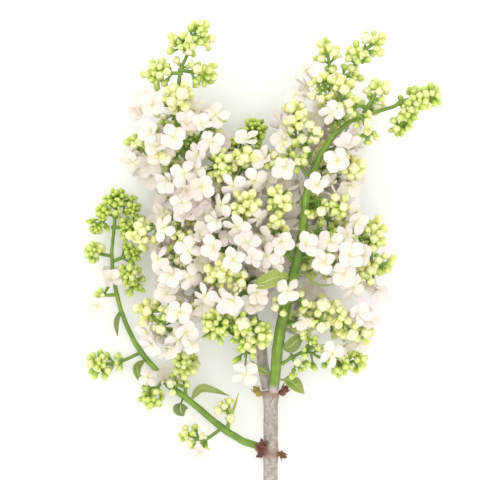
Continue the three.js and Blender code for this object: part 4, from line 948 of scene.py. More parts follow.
            (-40.2, 170.9, 23, 0.29, -0.93, 0.22, 7, 0.21, 49)])]),
    "left_spray_behind": dict(ripe=0.05, more=1, tufts=[
        tuft([(-28.8, 182.7, 30), (-22, 192, 25), (-13.5, 209, 24), (-8, 222.5, 25)], (0.38, 0.92, 0.07), 7),
        tuft([(-13.5, 209, 24), (-18, 216.5, 26)], (-0.5, 0.84, 0.22), 4.5),
        tuft([(-13.5, 209, 24), (-4, 211, 26)], (0.96, 0.2, 0.2), 4.5)]),
    "left_spray_cream": dict(ripe=0.9, more=6, tufts=[
        tuft([(-31, 186.9, 32.8), (-19, 194, 42), (-13, 207.5, 54)], (0, 0.29, 0.96), 7, florets=[
            (-18.5, 194.5, 61, -0.31, -0.86, 0.41, 7, 0.15, 31), (-8, 197, 61, 0.48, -0.73, 0.48, 7, 0.1, 6),
            (-1.5, 197.3, 52.7, 0.89, -0.36, 0.29, 5.6, 0.13, 52),
            (-12, 218, 50, -0.02, 0.95, -0.3, 7, 0.12, 56)])]),
    "left_spray_centre": dict(ripe=0.65, more=6, tufts=[
        tuft([(-27.4, 177.5, 32.5), (-18, 182, 46), (-12, 184.5, 60)], (0, 0, 1), 8.5, florets=[
            (-24.5, 185.5, 60, -0.99, 0.05, -0.09, 7, 0.1, 40),
            (-26.4, 177.5, 58.5, -0.95, -0.27, 0.15, 6.1, 0.15, 34),
            (-17, 174.5, 63, -0.35, -0.92, 0.2, 7, 0.04, 71),
            (-5.8, 178.4, 61.8, 0.63, -0.77, -0.09, 5.9, 0.15, 16)])]),
    "left_spray_left": dict(ripe=0.7, more=7, tufts=[
        tuft([(-33.3, 181.8, 32), (-46, 180, 36), (-63.5, 171, 38)], (-0.88, -0.46, 0.1), 8),
        tuft([(-46, 180, 36), (-44.5, 169.5, 51)], (0, 0, 1), 5, florets=[
            (-53.5, 174, 52, -0.9, 0.4, 0.18, 7, 0.18, 89), (-43, 179.5, 54, 0.12, 0.94, 0.33, 7, 0.15, 38),
            (-35, 171, 55, 0.87, 0.25, 0.43, 7, 0.12, 74)]),
        tuft([(-35.7, 181.5, 32.7), (-38, 180.5, 42)], (-0.24, -0.1, 0.97), 5, bare=True, florets=[
            (-36, 187, 50, 0.16, 0.68, 0.72, 7, 0.06, 74),
            (-44.1, 185.9, 54.1, -0.4, -0.04, 0.92, 6, 0.25, 29),
            (-28.9, 176.1, 48.1, 0.35, -0.9, 0.27, 5.5, 0.12, 57)]),
        tuft([(-35.7, 181.5, 32.7), (-24, 172, 12.5)], (0.46, -0.38, -0.8), 6, florets=[
            (-17.4, 163.5, 7, 0.78, -0.44, -0.45, 6.2, 0.03, 35),
            (-18.1, 176.8, 5.6, 0.03, 0.68, -0.73, 5.6, 0.08, 33),
            (-29.5, 163.6, 6.4, -0.49, -0.68, -0.55, 6.5, 0.07, 46)]),
        tuft([(-46, 180, 36), (-47, 160, 22)], (-0.04, -0.82, -0.57), 6, florets=[
            (-50.9, 149.3, 18.1, -0.35, -0.88, -0.33, 7, 0.21, 88),
            (-39, 152.5, 17.2, 0.68, -0.63, -0.37, 7, 0.09, 53),
            (-54.6, 159.5, 12.7, -0.66, -0.05, -0.75, 7, 0.09, 65)])]),
    "left_spray_low_white": dict(ripe=0.7, more=7, tufts=[
        tuft([(-19.9, 159, 31.4), (-20, 163, 49)], (-0.01, 0.22, 0.98), 6.5, bare=True, florets=[
            (-28, 164, 60, -0.6, 0.15, 0.79, 7, 0.26, 58), (-18.5, 158.5, 64, 0.15, -0.2, 0.97, 7, 0.13, 70),
            (-9, 159.4, 63.2, 0.62, 0.04, 0.78, 5.7, 0.18, 71),
            (-21.1, 169.6, 55.5, -0.22, 0.91, 0.36, 5.7, 0.23, 48),
            (-12, 171, 53.2, 0.86, 0.49, 0.13, 6.2, 0.19, 60)])]),
    "left_spray_low_left": dict(ripe=0.7, more=7, tufts=[
        tuft([(-24.1, 162.4, 30.5), (-36, 160, 38), (-46, 158, 44)], (0, 0, 1), 4.5, florets=[
            (-56, 158.5, 45, -0.99, 0.16, 0.04, 7, 0.19, 17), (-49, 151, 51, -0.26, -0.61, 0.75, 7, 0.22, 47),
            (-41, 163, 58, 0.37, 0.42, 0.83, 7, 0.13, 1), (-40, 149.5, 53, 0.5, -0.62, 0.6, 7, 0.12, 56)]),
        tuft([(-36, 160, 38), (-37, 146, 38)], (-0.07, -1, 0), 4.5, bare=True, florets=[
            (-33.1, 136.4, 44, 0.21, -0.81, 0.55, 7, 0.23, 57)])]),
    "left_spray_yellow_low": dict(ripe=0.8, more=6, tufts=[
        tuft([(-15.1, 145.7, 29.7), (-20, 149, 42), (-24, 151.5, 55)], (0, 0, 1), 9, florets=[
            (-32.5, 140, 55, -0.7, -0.71, -0.09, 7, 0.22, 33)]),
        tuft([(-24, 151.5, 55), (-14, 147, 57)], (0.2, 0, 0.98), 4, florets=[
            (-6.5, 141.5, 51, 0.4, -0.3, 0.8, 6.6, 0.2, 50),
            (-23.5, 137.5, 58, -0.75, -0.64, 0.13, 7, 0.14, 45)])]),
    "left_spray_foot_left": dict(ripe=0.85, more=6, tufts=[
        tuft([(-13.4, 135.5, 26.6), (-34, 134, 34), (-60.5, 132, 33)], (-1, -0.08, -0.04), 8),
        tuft([(-60.5, 132, 33), (-54, 124.5, 39)], (0, -0.37, 0.93), 5.5, florets=[
            (-61.5, 121.5, 35, -0.84, -0.42, -0.35, 7, 0.21, 42),
            (-51, 114, 36, 0.26, -0.93, -0.25, 7, 0.12, 2),
            (-41.8, 121.8, 46.1, 0.83, -0.38, 0.41, 6.9, 0.14, 79)]),
        tuft([(-54, 124.5, 39), (-50, 133, 40)], (0, 0, 1), 4, florets=[
            (-45.5, 132, 50, 0.45, 0.02, 0.89, 7, 0.08, 57),
            (-51.5, 141.5, 45, -0.17, 0.88, 0.43, 7, 0.04, 83)]),
        tuft([(-15.7, 135.4, 27.4), (-12, 146.5, 12.5)], (0.2, 0.59, -0.79), 6, florets=[
            (-11.2, 152, 3, 0.23, 0.27, -0.93, 5.7, 0.05, 5),
            (-2.1, 151.2, 7.6, 0.82, 0.28, -0.5, 7, 0.2, 70),
            (-18.5, 157.1, 9.8, -0.53, 0.85, -0.02, 6.2, 0.1, 54)]),
        tuft([(-34, 134, 34), (-34, 138, 18)], (0, 0.24, -0.97), 6, florets=[
            (-38.5, 140.6, 7.2, -0.39, 0.27, -0.88, 7, 0.06, 55),
            (-27.7, 134.7, 8.3, 0.64, -0.31, -0.71, 7, 0.21, 35),
            (-33.3, 147.1, 12.4, -0.15, 0.95, -0.28, 5.7, 0.03, 39)])]),
    "left_spray_foot": dict(ripe=0.42, more=0, tufts=[
        tuft([(-7.3, 120, 25.4), (-14, 119, 36), (-26.5, 125.5, 44)], (-0.2, 0, 0.98), 8.5, florets=[
            (-38.4, 116.1, 44.5, -0.83, -0.47, 0.31, 5.6, 0.23, 48)]),
        tuft([(-26.5, 125.5, 44), (-13.5, 126, 49)], (0, 0, 1), 6.5, florets=[
            (-9, 136, 50, 0.1, 0.5, 0.8, 6.6, 0.1, 20), (-18.5, 135, 51, -0.3, 0.4, 0.8, 6.8, 0.2, 65)]),
        tuft([(-13.5, 126, 49), (-4.5, 121, 46)], (0, 0, 1), 6.5),
        tuft([(-4.5, 121, 46), (-11.5, 116, 45)], (0, -0.45, 0.89), 4.5),
        tuft([(-14, 119, 36), (-12, 109.5, 35)], (0.2, -0.97, -0.1), 3, bare=True, florets=[
            (-12.5, 100.5, 37, -0.04, -0.94, 0.34, 7.5, 0.04, 43)])]),
    "left_spray_hidden_top": dict(ripe=0.5, more=3, tufts=[
        tuft([(-45.9, 241.5, 35.5), (-45, 236, 23)], (0.07, -0.4, -0.91), 6, florets=[
            (-47.9, 235.4, 11.4, -0.37, 0.01, -0.93, 7, 0.07, 81)]),
        tuft([(-45, 236, 23), (-50, 226, 24)], (-0.45, -0.89, 0.09), 6, florets=[
            (-44.3, 224.2, 20, 0.66, -0.08, -0.75, 6.6, 0.04, 28),
            (-56.6, 215.9, 19.8, -0.48, -0.87, -0.11, 6.6, 0.08, 51),
            (-57.5, 221, 31.7, -0.64, -0.56, 0.53, 6.9, 0.12, 80)])]),
    "side_spray_tip": dict(ripe=0.1, more=1, tufts=[
        tuft([(-79.1, 171.9, 11), (-78.3, 180, 11.5), (-77.5, 188.5, 14)], (0, 0.8, 0.6), 5.5),
        tuft([(-77.5, 188.5, 14), (-70, 185, 13)], (0.86, 0, 0.51), 5),
        tuft([(-78.3, 180, 11.5), (-83.5, 182, 13)], (-0.86, 0, 0.51), 4.5),
        tuft([(-83.5, 182, 13), (-87, 175, 11.5)], (-0.44, -0.88, -0.19), 4.5),
        tuft([(-78.9, 174.4, 11.2), (-72, 174, 14.5)], (0, 0, 1), 5),
        tuft([(-72, 174, 14.5), (-66, 178, 13)], (0.81, 0.54, -0.2), 4)]),
    "side_spray_left": dict(ripe=0.35, more=1, tufts=[
        tuft([(-81.7, 160.1, 11.1), (-88.5, 161.5, 12)], (-0.97, 0.2, 0.13), 6)]),
    "side_spray_right": dict(ripe=0.15, more=1, tufts=[
        tuft([(-78.4, 157.6, 10.9), (-70, 161, 12)], (0.92, 0.38, 0.12), 5.5)]),
    "side_spray_low_right": dict(ripe=0.35, more=1, tufts=[
        tuft([(-77.6, 147.6, 11.3), (-71, 150.5, 16)], (0, 0, 1), 6),
        tuft([(-71, 150.5, 16), (-66.5, 144.5, 13)], (0.56, -0.74, -0.37), 4.5)]),
    "side_spray_low_left": dict(ripe=0.6, more=1, tufts=[
        tuft([(-79.3, 140.1, 10.3), (-84, 140, 11)], (-0.99, -0.02, 0.15), 4.5, florets=[
            (-80.1, 148.1, 19.8, 0.41, 0.54, 0.74, 5.9, 0.13, 88),
            (-87, 134.5, 17, -0.25, -0.62, 0.74, 6, 0.02, 37)])]),
    "side_spray_outer": dict(ripe=0.4, more=1, tufts=[
        tuft([(-67.4, 110, 8.9), (-76.6, 106, 8.5), (-86, 104.5, 7.6)], (-0.6, 0, 0.8), 7.5)]),
    "side_spray_base": dict(ripe=0.25, more=1, tufts=[
        tuft([(-55.4, 95.1, 9.6), (-60, 88, 10.5)], (-0.26, -0.43, 0.86), 6.5, florets=[
            (-61.5, 98.8, 18.7, 0.1, 0.77, 0.63, 5.2, 0.18, 47)])]),
    "side_spray_upright": dict(ripe=0.55, more=1, tufts=[
        tuft([(-42.7, 91.1, 11.4), (-43.5, 105.5, 16.5)], (0, 0.37, 0.93), 7.5),
        tuft([(-42.8, 93.4, 12.3), (-49, 95.5, 17)], (-0.45, 0, 0.89), 3.5)]),
    "side_spray_lowest": dict(ripe=0.45, more=1, tufts=[
        tuft([(-26.5, 71.1, 12.5), (-33.6, 66.8, 12.5), (-41, 69, 12)], (-0.59, 0.2, 0.78), 5.5),
        tuft([(-33.6, 66.8, 12.5), (-35.5, 61.5, 11)], (0, -0.8, 0.6), 4, florets=[
            (-35.5, 60.5, 19, -0.09, -0.19, 0.98, 5.5, 0.2, 84)])]),
    "side_spray_bud": dict(ripe=0.8, more=1, tufts=[
        tuft([(-21.4, 73.5, 14.1), (-20.5, 79, 17), (-24, 85, 19)], (-0.48, 0.83, 0.28), 4)]),
}

# the green shoots, as (x, y, z, radius)

shoots = {
    "right_panicle_stem": [
        (1.8, 91.7, 24.4, 2.6), (3, 102.5, 28.4, 2.7), (3.8, 113, 33.2, 2.8), (5.3, 123.5, 37.8, 2.8),
        (7.7, 134, 42.2, 2.8), (10.3, 144.5, 46.1, 2.7), (12.9, 155.1, 50, 2.6), (15.2, 166.1, 52.6, 2.4),
        (16.8, 177.4, 54.4, 2.1), (17.7, 188.9, 55, 1.9), (20.5, 200.1, 55, 1.65), (25.1, 210.5, 52.9, 1.5),
        (31.2, 220, 50.4, 1.3), (40, 227, 48, 1.1), (50.6, 231.2, 46.2, 1.0), (61.5, 234.5, 44, 0.9)],
    "left_panicle_stem": [
        (-1.1, 92.9, 20, 2.9), (-3.2, 103.7, 20.5, 2.8), (-4.3, 114.5, 22.1, 2.7), (-7.1, 124.9, 23.8, 2.5),
        (-10.4, 135.2, 25.5, 2.2), (-14.2, 145.4, 27.1, 2.1), (-18.5, 155.5, 28.3, 2),
        (-23.2, 165.3, 29.5, 1.9), (-27.8, 175.2, 30.5, 1.9), (-32.2, 185.2, 31.5, 1.7),
        (-36.6, 195.2, 32.4, 1.6), (-40.7, 205.4, 33.3, 1.5), (-44.2, 215.7, 34.4, 1.3),
        (-46.7, 226.3, 35.7, 1.2), (-46.7, 237.2, 36.8, 1.1), (-45.4, 248, 37.8, 1)],
    "side_branch": [
        (-4.6, 63.2, 14.6, 1.87), (-13.5, 66.1, 13.7, 1.87), (-21.6, 70.9, 12.8, 1.78),
        (-29, 76.7, 11.9, 1.7), (-36.1, 82.8, 11.1, 1.61), (-43.5, 88.7, 10.3, 1.61),
        (-51.2, 94.1, 9.6, 1.53), (-57.1, 101.5, 9.1, 1.44), (-63.4, 108.5, 9, 1.44), (-68.6, 116.3, 9, 1.27),
        (-72.7, 124.9, 9.2, 1.19), (-75.9, 133.7, 9.7, 1.1), (-78.1, 142.9, 10.1, 1.02),
        (-79.6, 152.2, 10.5, 0.94), (-80.1, 161.6, 10.9, 0.85), (-79.2, 171, 11, 0.77)],
}

allTufts = [each for spray in sprays.values() for each in spray["tufts"]]
# the throats of all the florets, to which the truss rule adds its own
planted = [Vector(floret[:3]) for each in allTufts for floret in each["florets"]]
budCentres = [(Vector(each["path"][-1]), each["radius"]) for each in allTufts if not each["bare"]]
lowest, highest = cadBox[0] / mm, cadBox[1] / mm

# places that stay in sight from above, as (x, y, radius): bracts, and the middle of the right shoot
keptClear = dict(
    spots=[(20, 149, 6.5), (27, 146, 6.5), (33, 147, 6), (20, 168, 5.5), (20, 162, 5.5), (-4, 147, 8)],
    beside=4, budsBeside=4.5, budsAbove=2, level=36)
inSight = [Vector(spot) for spot in keptClear["spots"]]
middleStem = shoots["right_panicle_stem"][5:13]
inSight += [Vector((x, y, radius + keptClear["beside"])) for x, y, z, radius in middleStem]


def keptInside(place, margin):
    # the nearest place that leaves the margin to the part's box
    return Vector([min(max(place[i], lowest[i] + margin), highest[i] - margin) for i in (0, 1, 2)])


def anyStray(draw):
    return Vector([draw.random() - 0.5 for axis in range(3)])


def domeDirections(aim, count, spread, start):
    frameAt = turnedTo(aim, start)
    directions = []
    for index in range(count):
        height = 1 - (index + 0.35) / count * (1 - math.cos(spread))
        level = math.sqrt(max(1 - height * height, 0))
        angle = index * goldenAngle
        direction = Vector((level * math.cos(angle), level * math.sin(angle), height))
        directions.append((frameAt @ direction).normalized())
    return directions


# open florets; the lift of one in the data chooses between the flat, the cupped and the half open kinds

floretRules = dict(
    half=0.9, flat=0.09, flatKinds=["flatFloret", "broadFloret", "wavyFloret"],
    cuppedKinds=["cuppedFloret", "deepFloret", "wavyFloret", "backFloret", "broadFloret"],
    grown=1.12, clear=0.3,  # how much larger a head is than its radius, and its room above the table
    up=0.9,  # how far it turns upwards
    tube=6.5, tubeShare=0.8, tubeRadius=0.12, bow=(0.15, 0.25),
    stalk=(0.5, 0.45, 0.55), sunk=0.4)


def floretParts(draw, centre, axis, radius, lift, turn, root, tone):
    # the head of a floret, its tube, and the route of its stalk
    if lift > floretRules["half"]:
        kind = "halfFloret"
    else:
        kind = draw.choice(floretRules["flatKinds" if lift < floretRules["flat"] else "cuppedKinds"])
    reach = radius * floretRules["grown"]
    clear = reach * (math.hypot(axis.x, axis.y) + floretRules["clear"])
    centre = centre + upAxis * max(clear - centre.z, 0)
    head = Matrix.Translation(centre * mm) @ turnedTo(axis, turn) @ Matrix.Scale(reach * mm, 4)
    foot = centre - axis * min(floretRules["tube"], floretRules["tubeShare"] * (centre - root).length)
    foot = foot.lerp(root + (centre - root) * floretRules["bow"][0], floretRules["bow"][1])
    along = (centre - foot).normalized()
    wide = radius * floretRules["tubeRadius"] * mm
    spread = Matrix.Diagonal((wide, wide, (centre - foot).length * mm, 1))
    tube = Matrix.Translation(foot * mm) @ turnedTo(along) @ spread
    parts = [copyTo(florets[kind], head, tone=tone), copyTo(floretTube, tube, tone=tone)]
    places = (root, foot.lerp(root, 0.5), foot + along * floretRules["sunk"])
    return parts, [(*place, width) for place, width in zip(places, floretRules["stalk"])]


def hidesOthers(place):
    # whether a floret there would stand over a tuft of buds, the stem or a bract
    if place.z > keptClear["level"] and any((place.xy - spot.xy).length < spot.z for spot in inSight):
        return True
    for centre, radius in budCentres:
        offset = place - centre
        if offset.z > -1 and math.hypot(offset.x, offset.y) < radius + keptClear["budsBeside"]:
            return True
        if offset.length < radius + keptClear["budsAbove"]:
            return True
    return False


trussRules = dict(
    tries=5, swing=(0.5, 0.95), shorten=(0.78, 0.98), size=(6.2, 7.6), halfOpen=0.06, lift=0.26,
    up=0.7, stray=0.6, apart=6.0, lowest=7, margins=(0.8, 0.6))


def trussFlorets(draw, centre, throat, count):
    # more open florets beside one, where there is a gap between its neighbours and no bud to hide
    placed = []
    out = throat - centre
    for attempt in range(count * trussRules["tries"]):
        swing, spin = draw.uniform(*trussRules["swing"]), draw.random() * anyTurn
        size, shorten = draw.uniform(*trussRules["size"]), draw.uniform(*trussRules["shorten"])
        turn, tone = draw.random() * quarterTurn, draw.random()
        lift = 1.0 if draw.random() < trussRules["halfOpen"] else draw.random() * trussRules["lift"]
        stray = anyStray(draw)
        side = turnedTo(out.normalized(), spin) @ Vector((1, 0, 0))
        direction = (Matrix.Rotation(swing, 3, side) @ out).normalized()
        place = centre + direction * out.length * shorten
        axis = (direction + upAxis * trussRules["up"] + stray * trussRules["stray"]).normalized()
        below, above = (size * margin for margin in trussRules["margins"])
        inside = all(lowest[i] + below < place[i] < highest[i] - above for i in (0, 1, 2))
        if len(placed) < count and inside and place.z > trussRules["lowest"] and not hidesOthers(place):
            if all((place - other).length > trussRules["apart"] for other in planted):
                planted.append(place)
                placed.append((place, axis, size, lift, turn, tone))
    return placed


budRules = dict(
    size=(1.15, 2.0),  # radius of the greenest bud, and what a ripe one has more
    variety=(0.86, 1.14), tones=0.5, ripest=0.84,  # how much size and tone vary, and the ripest tone
    opening=0.16, openTone=0.97, openSize=1.3,  # chance, tone and growth of a bud about to open
    longest=0.62, least=0.72, room=0.77, clear=0.15, margin=0.3,
    tails=dict(creamBud=2.3, greenBud=1.7), creamFrom=0.4, neck=0.9, sunk=0.15,
    stalk=(0.5, 0.42), shortest=0.3)


def budParts(draw, root, tip, ripe, heads):
    # one bud whose tip is there, with the route of its stalk from the root, unless the others leave it
    # no room
    tip = keptInside(tip, budRules["margin"])
    tone = min(max(ripe + budRules["tones"] * (draw.random() - 0.5), 0), budRules["ripest"])
    opens = draw.random() < budRules["opening"] * ripe
    if opens:
        tone = budRules["openTone"]
    size = (budRules["size"][0] + budRules["size"][1] * tone) * draw.uniform(*budRules["variety"])
    size = min(size * (budRules["openSize"] if opens else 1.0), budRules["longest"] * (tip - root).length)
    direction = (tip - root).normalized()
    head = tip - direction * size
    if head.z < size + budRules["clear"]:
        head.z = size + budRules["clear"]
        direction = (head - root).normalized()
    room = min(((head - other).length / budRules["room"] - radius for other, radius in heads), default=size)
    if room < budRules["least"] * size:
        return None, None
    size = min(size, room)
    heads.append((head, size))
    kind = "creamBud" if tone > budRules["creamFrom"] else "greenBud"
    tail = budRules["tails"][kind]
    squash = min(1, (tip - root).length / ((tail + budRules["neck"]) * size))
    matrix = Matrix.Translation(head * mm) @ turnedTo(direction, draw.random() * anyTurn)
    matrix = matrix @ Matrix.Diagonal((size * mm, size * mm, size * squash * mm, 1))
    base = head - direction * size * (tail - budRules["sunk"]) * squash
    stalk = [(*place, width) for place, width in zip((root, base), budRules["stalk"])]
    if (base - root).dot(direction) <= budRules["shortest"]:
        stalk = None
    return copyTo(buds[kind], matrix, tone=tone), stalk


tierRules = dict(
    first=0.95, apart=5.6, margin=3.2, lean=0.95, waver=0.4, reach=(2.6, 4.4), fork=2.0,
    side=0.75, rise=(-0.2, 0.35), budReach=(3.6, 5.4), ripe=0.9, widths=(0.6, 0.5))


def tiersOf(path, radius):
    # where pairs of side twigs leave a stalk below its tuft, as places and directions
    tiers, gone, target = [], 0, radius * tierRules["first"]
    for end, start in zip(path[:0:-1], path[-2::-1]):
        length = (end - start).length
        while target < gone + length:
            tiers.append((end.lerp(start, (target - gone) / length), (end - start).normalized()))
            target += tierRules["apart"]
        gone += length
    return [tier for step, tier in enumerate(tiers)
            if radius * tierRules["first"] + step * tierRules["apart"] < gone - tierRules["margin"]]


domeRules = dict(
    cover=2.8, layers=2.4, core=0.78, most=56,  # how many buds a tuft holds
    spread=2.2, stray=0.35, reach=(0.7, 1.24), clearOfStalk=0.86, clearOfFlorets=0.9,
    stalk=0.8, taper=(1.15, 0.3), rooted=1.3)


def growSpray(name, spray):
    draw = random.Random(name)
    stalks, pedicels, budPieces, floretPieces, budHeads = [], [], [], [], []

    def addBud(root, tip, ripe):
        bud, pedicel = budParts(draw, root, tip, ripe, budHeads)
        if bud:
            budPieces.append(bud)
        if pedicel:
            pedicels.append(pedicel)

    def addFloret(root, throat, axis, size, lift, turn, tone):
        parts, pedicel = floretParts(draw, throat, axis, size, lift, turn, root, tone)
        floretPieces.extend(parts)
        pedicels.append(pedicel)

    def addTwigs(step, root, along, ripe):
        # a pair of side twigs, each with a fork of three buds
        turn = step * quarterTurn + draw.uniform(-tierRules["waver"], tierRules["waver"])
        across = turnedTo(along, turn) @ Vector((1, 0, 0))
        lean = tierRules["lean"]
        for side in (1, -1):
            reach = draw.uniform(*tierRules["reach"])
            out = (along * math.cos(lean) + across * side * math.sin(lean)).normalized()
            fork = keptInside(root + out * reach, tierRules["fork"])
            pedicels.append([(*place, width) for place, width in zip((root, fork), tierRules["widths"])])
            flank = out.cross(along).normalized()
            for swing in (-1, 0, 1):
                bend = flank * swing * tierRules["side"]
                sideways = (out + bend + along * draw.uniform(*tierRules["rise"])).normalized()
                addBud(fork, fork + sideways * draw.uniform(*tierRules["budReach"]), ripe * tierRules["ripe"])

    def addDome(path, aim, radius, ripe, taken):
        # the buds round the end of a stalk, away from the stalk itself and from open florets
        centre = path[-1]
        back = (path[-2] - centre).normalized()
        usual = budRules["size"][0] + budRules["size"][1] * min(ripe, 1)
        count = round(domeRules["cover"] * domeRules["layers"] * (radius * domeRules["core"] / usual) ** 2)
        count = min(domeRules["most"], count)
        for direction in domeDirections(aim, count, domeRules["spread"], draw.random() * anyTurn):
            direction = (direction + anyStray(draw) * domeRules["stray"]).normalized()
            reach = radius * draw.uniform(*domeRules["reach"])
            free = all(direction.dot(other) < domeRules["clearOfFlorets"] for other in taken)
            if free and direction.dot(back) < domeRules["clearOfStalk"]:
                addBud(centre, centre + direction * reach, ripe)

    for each in spray["tufts"]:
        path = [Vector(place) for place in each["path"]]
        centre, aim, radius = path[-1], Vector(each["aim"]).normalized(), each["radius"]
        ripe = spray["ripe"] if each["ripe"] is None else each["ripe"]
        path[0] = path[0] + (path[0] - path[1]).normalized() * domeRules["rooted"]
        thick, less = domeRules["taper"]
        stalks.append([(*place, domeRules["stalk"] * (thick - less * step / len(path)))
                       for step, place in enumerate(path)])
        taken = []
        for x, y, z, ax, ay, az, size, lift, turn in each["florets"]:
            throat = Vector((x, y, z))
            axis = (Vector((ax, ay, az)).normalized() + upAxis * floretRules["up"]).normalized()
            addFloret(centre, throat, axis, size, lift, math.radians(turn), draw.random())
            taken.append((throat - centre).normalized())
            for place, axis, size, lift, turn, tone in trussFlorets(draw, centre, throat, spray["more"]):
                addFloret(centre, place, axis, size, lift, turn, tone)
                taken.append((place - centre).normalized())
        for step, (root, along) in enumerate(tiersOf(path, radius)):
            addTwigs(step, root, along, ripe)
        if not each["bare"]:
            addDome(path, aim, radius, ripe, taken)
    tubes = [tubeFrom("stalks", stalks, 1, 3)]
    if pedicels:
        tubes.append(tubeFrom("pedicels", pedicels, 0, 1))
    finishPiece(joinAs(name + "_stalks", tubes), name, stemMaterial)
    if budPieces:
        finishPiece(joinAs(name + "_buds", budPieces), name, budMaterial)
    if floretPieces:
        finishPiece(joinAs(name + "_florets", floretPieces), name, petalMaterial)


for sprayName, spray in sprays.items():
    growSpray(sprayName, spray)
print("sprays")


# the green shoots, swollen where a spray leaves them

# how much of a shoot turns to wood, from its foot
woodyShare = {"left_panicle_stem": 0.5, "right_panicle_stem": 0.05}
swelling = dict(most=0.14, reach=3.0, between=(0, 0.34, 0.67))
forks = [Vector(each["path"][0]) for each in allTufts]


def swollen(route):
    # the same route with more points, thicker where a spray leaves it
    finer = []
    for first, second in zip(route, route[1:]):
        for share in swelling["between"]:
            x, y, z, radius = Vector(first).lerp(Vector(second), share)
            away = min((fork - Vector((x, y, z))).length for fork in forks)
            wider = 1 + swelling["most"] * math.exp(-(away / swelling["reach"]) ** 2)
            finer.append((x, y, z, radius * wider))
    return finer + [route[-1]]


for shootName, route in shoots.items():
    shoot = tubeFrom(shootName + "_shoot", [swollen(route)], 4, 2)
    foot = Vector(route[0][:3]) * mm
    reach = sum(math.dist(a[:3], b[:3]) for a, b in zip(route, route[1:])) * mm
    ends = woodyShare.get(shootName, 0) * reach
    setValues(shoot, bark=lambda co: max(1 - (co - foot).length / ends, 0) if ends else 0.0)
    finishPiece(shoot, shootName, stemMaterial)
print("shoots")


# the wood: rings of bark along the cut stem as (y, z, radius), swollen at its two nodes

wood = dict(
    x=0.5, sides=24, barkRim=0.45, smooth=50,
    lump=0.18, lumpScale=(320, 150, 320), lumpsFrom=2.5, clear=0.02,  # no lumps within 2.5 of its middle
    rings=[
        (-10, 3.47, 3.6), (-4, 3.47, 3.62), (3, 3.47, 3.6), (10, 3.5, 3.58), (16, 3.75, 3.62),
        (22, 4.15, 3.6), (29, 5.2, 3.58), (36, 6.65, 3.62), (43, 8.5, 3.58), (49, 10.15, 3.6),
        (55, 11.87, 3.64), (58, 12.7, 3.95), (61, 13.55, 4.05), (64, 14.39, 3.85), (67, 15.2, 3.65),
        (73, 16.9, 3.6), (79, 18.6, 3.6), (84, 19.99, 3.65), (87, 20.8, 3.9), (89.5, 21.5, 4.4),
        (91.4, 22.1, 4.45), (92.0, 22.3, 3.6)])


def addLumps(trunk):
    # lumps in the bark; the flat that it lies on stays on the table
    for vert in trunk.data.vertices:
        onward = (z for y, z, _ in wood["rings"] if y * mm >= vert.co.y - 1e-5)
        level = min(onward, default=wood["rings"][-1][1])
        axis = Vector((wood["x"] * mm, vert.co.y, level * mm))
        out = Vector((vert.co.x - axis.x, 0, vert.co.z - axis.z))
        if out.length > wood["lumpsFrom"] * mm:
            spot = Vector([place * scale for place, scale in zip(vert.co, wood["lumpScale"])])
            vert.co += out.normalized() * noise.noise(spot) * wood["lump"] * mm
        vert.co.z = max(vert.co.z, wood["clear"] * mm)
        vert.co.y = max(vert.co.y, wood["rings"][0][0] * mm)


def makeWood():
    y, z, radius = wood["rings"][0]
    bpy.ops.mesh.primitive_circle_add(vertices=wood["sides"], radius=radius * mm, fill_type="NGON",
                                      location=(wood["x"] * mm, y * mm, z * mm), rotation=(math.pi / 2, 0, 0))
    trunk = activeObject()
    makeActive(trunk)
    bpy.ops.object.transform_apply()
    editMode(trunk)
    selectMesh()
    for (y, z, radius), (nextY, nextZ, nextRadius) in zip(wood["rings"], wood["rings"][1:]):
        step = (0, (nextY - y) * mm, (nextZ - z) * mm)
        bpy.ops.mesh.extrude_region_move(TRANSFORM_OT_translate={"value": step})
        widen(nextRadius / radius, (wood["x"] * mm, nextY * mm, nextZ * mm), (1, 1, 1))
    for end in (wood["rings"][0][0], wood["rings"][-1][0]):
        pickVerts(trunk, lambda co: isAt(co.y, end * mm, 0.1 * mm))
        bpy.ops.mesh.inset(thickness=wood["barkRim"] * mm)
    makeOutward()
    bpy.ops.mesh.subdivide(number_cuts=1, smoothness=0)
    objectMode()
    addLumps(trunk)
    makeActive(trunk)
    smoothUnder(wood["smooth"])
    trunk.name = "cut_stem_wood"
    finishPiece(trunk, "woody_stem", barkMaterial)


makeWood()
print("wood")


# bud scales: one cupped scale, set in crossed pairs round each small bud, as (foot, tip, radius)

scaleShape = dict(rows=[(0.0, 0.75), (0.3, 1.0), (0.66, 0.56), (1.0, 0.06)], breadth=0.5, cup=0.34, hook=0.14,
                  thick=0.07, smooth=60, lifts=[(0.5, 0.25), (1.0, 1.0)])
scaleTiers = [(0.0, 0.7, 0.66), (0.16, 0.76, 0.48), (0.34, 0.72, 0.28)]  # place, length and lean of each pair
scaleRules = dict(
    core=(0.55, 0.62, 0.36),  # place, width and length of the bud inside, as shares
    length=(0.9, 1.12), turn=(-0.2, 0.2), lean=(0.7, 1.2), out=0.75, wide=1.15)
scaleBuds = {
    "upper_bud_right": dict(tone=0.05, buds=[((5.6, 90, 22), (9.4, 94.5, 23), 1.7)]),
    "upper_bud_left": dict(tone=0.75, buds=[((-4.7, 89.5, 21.5), (-8, 94, 22.5), 1.5)]),
    "lower_bud_right": dict(tone=0.1, buds=[((4.9, 60.5, 14.5), (8.2, 57.6, 14.5), 1.4)]),
    "lower_bud_scales": dict(tone=0.0, buds=[((-2.5, 61.5, 18.05), (-6.8, 64.2, 19.4), 1.5),
                                             ((-2.1, 61.7, 18.45), (-4, 67, 20.8), 1.5),
                                             ((-2.5, 60.9, 18.05), (-6.6, 58.6, 18.2), 1.4)]),
}


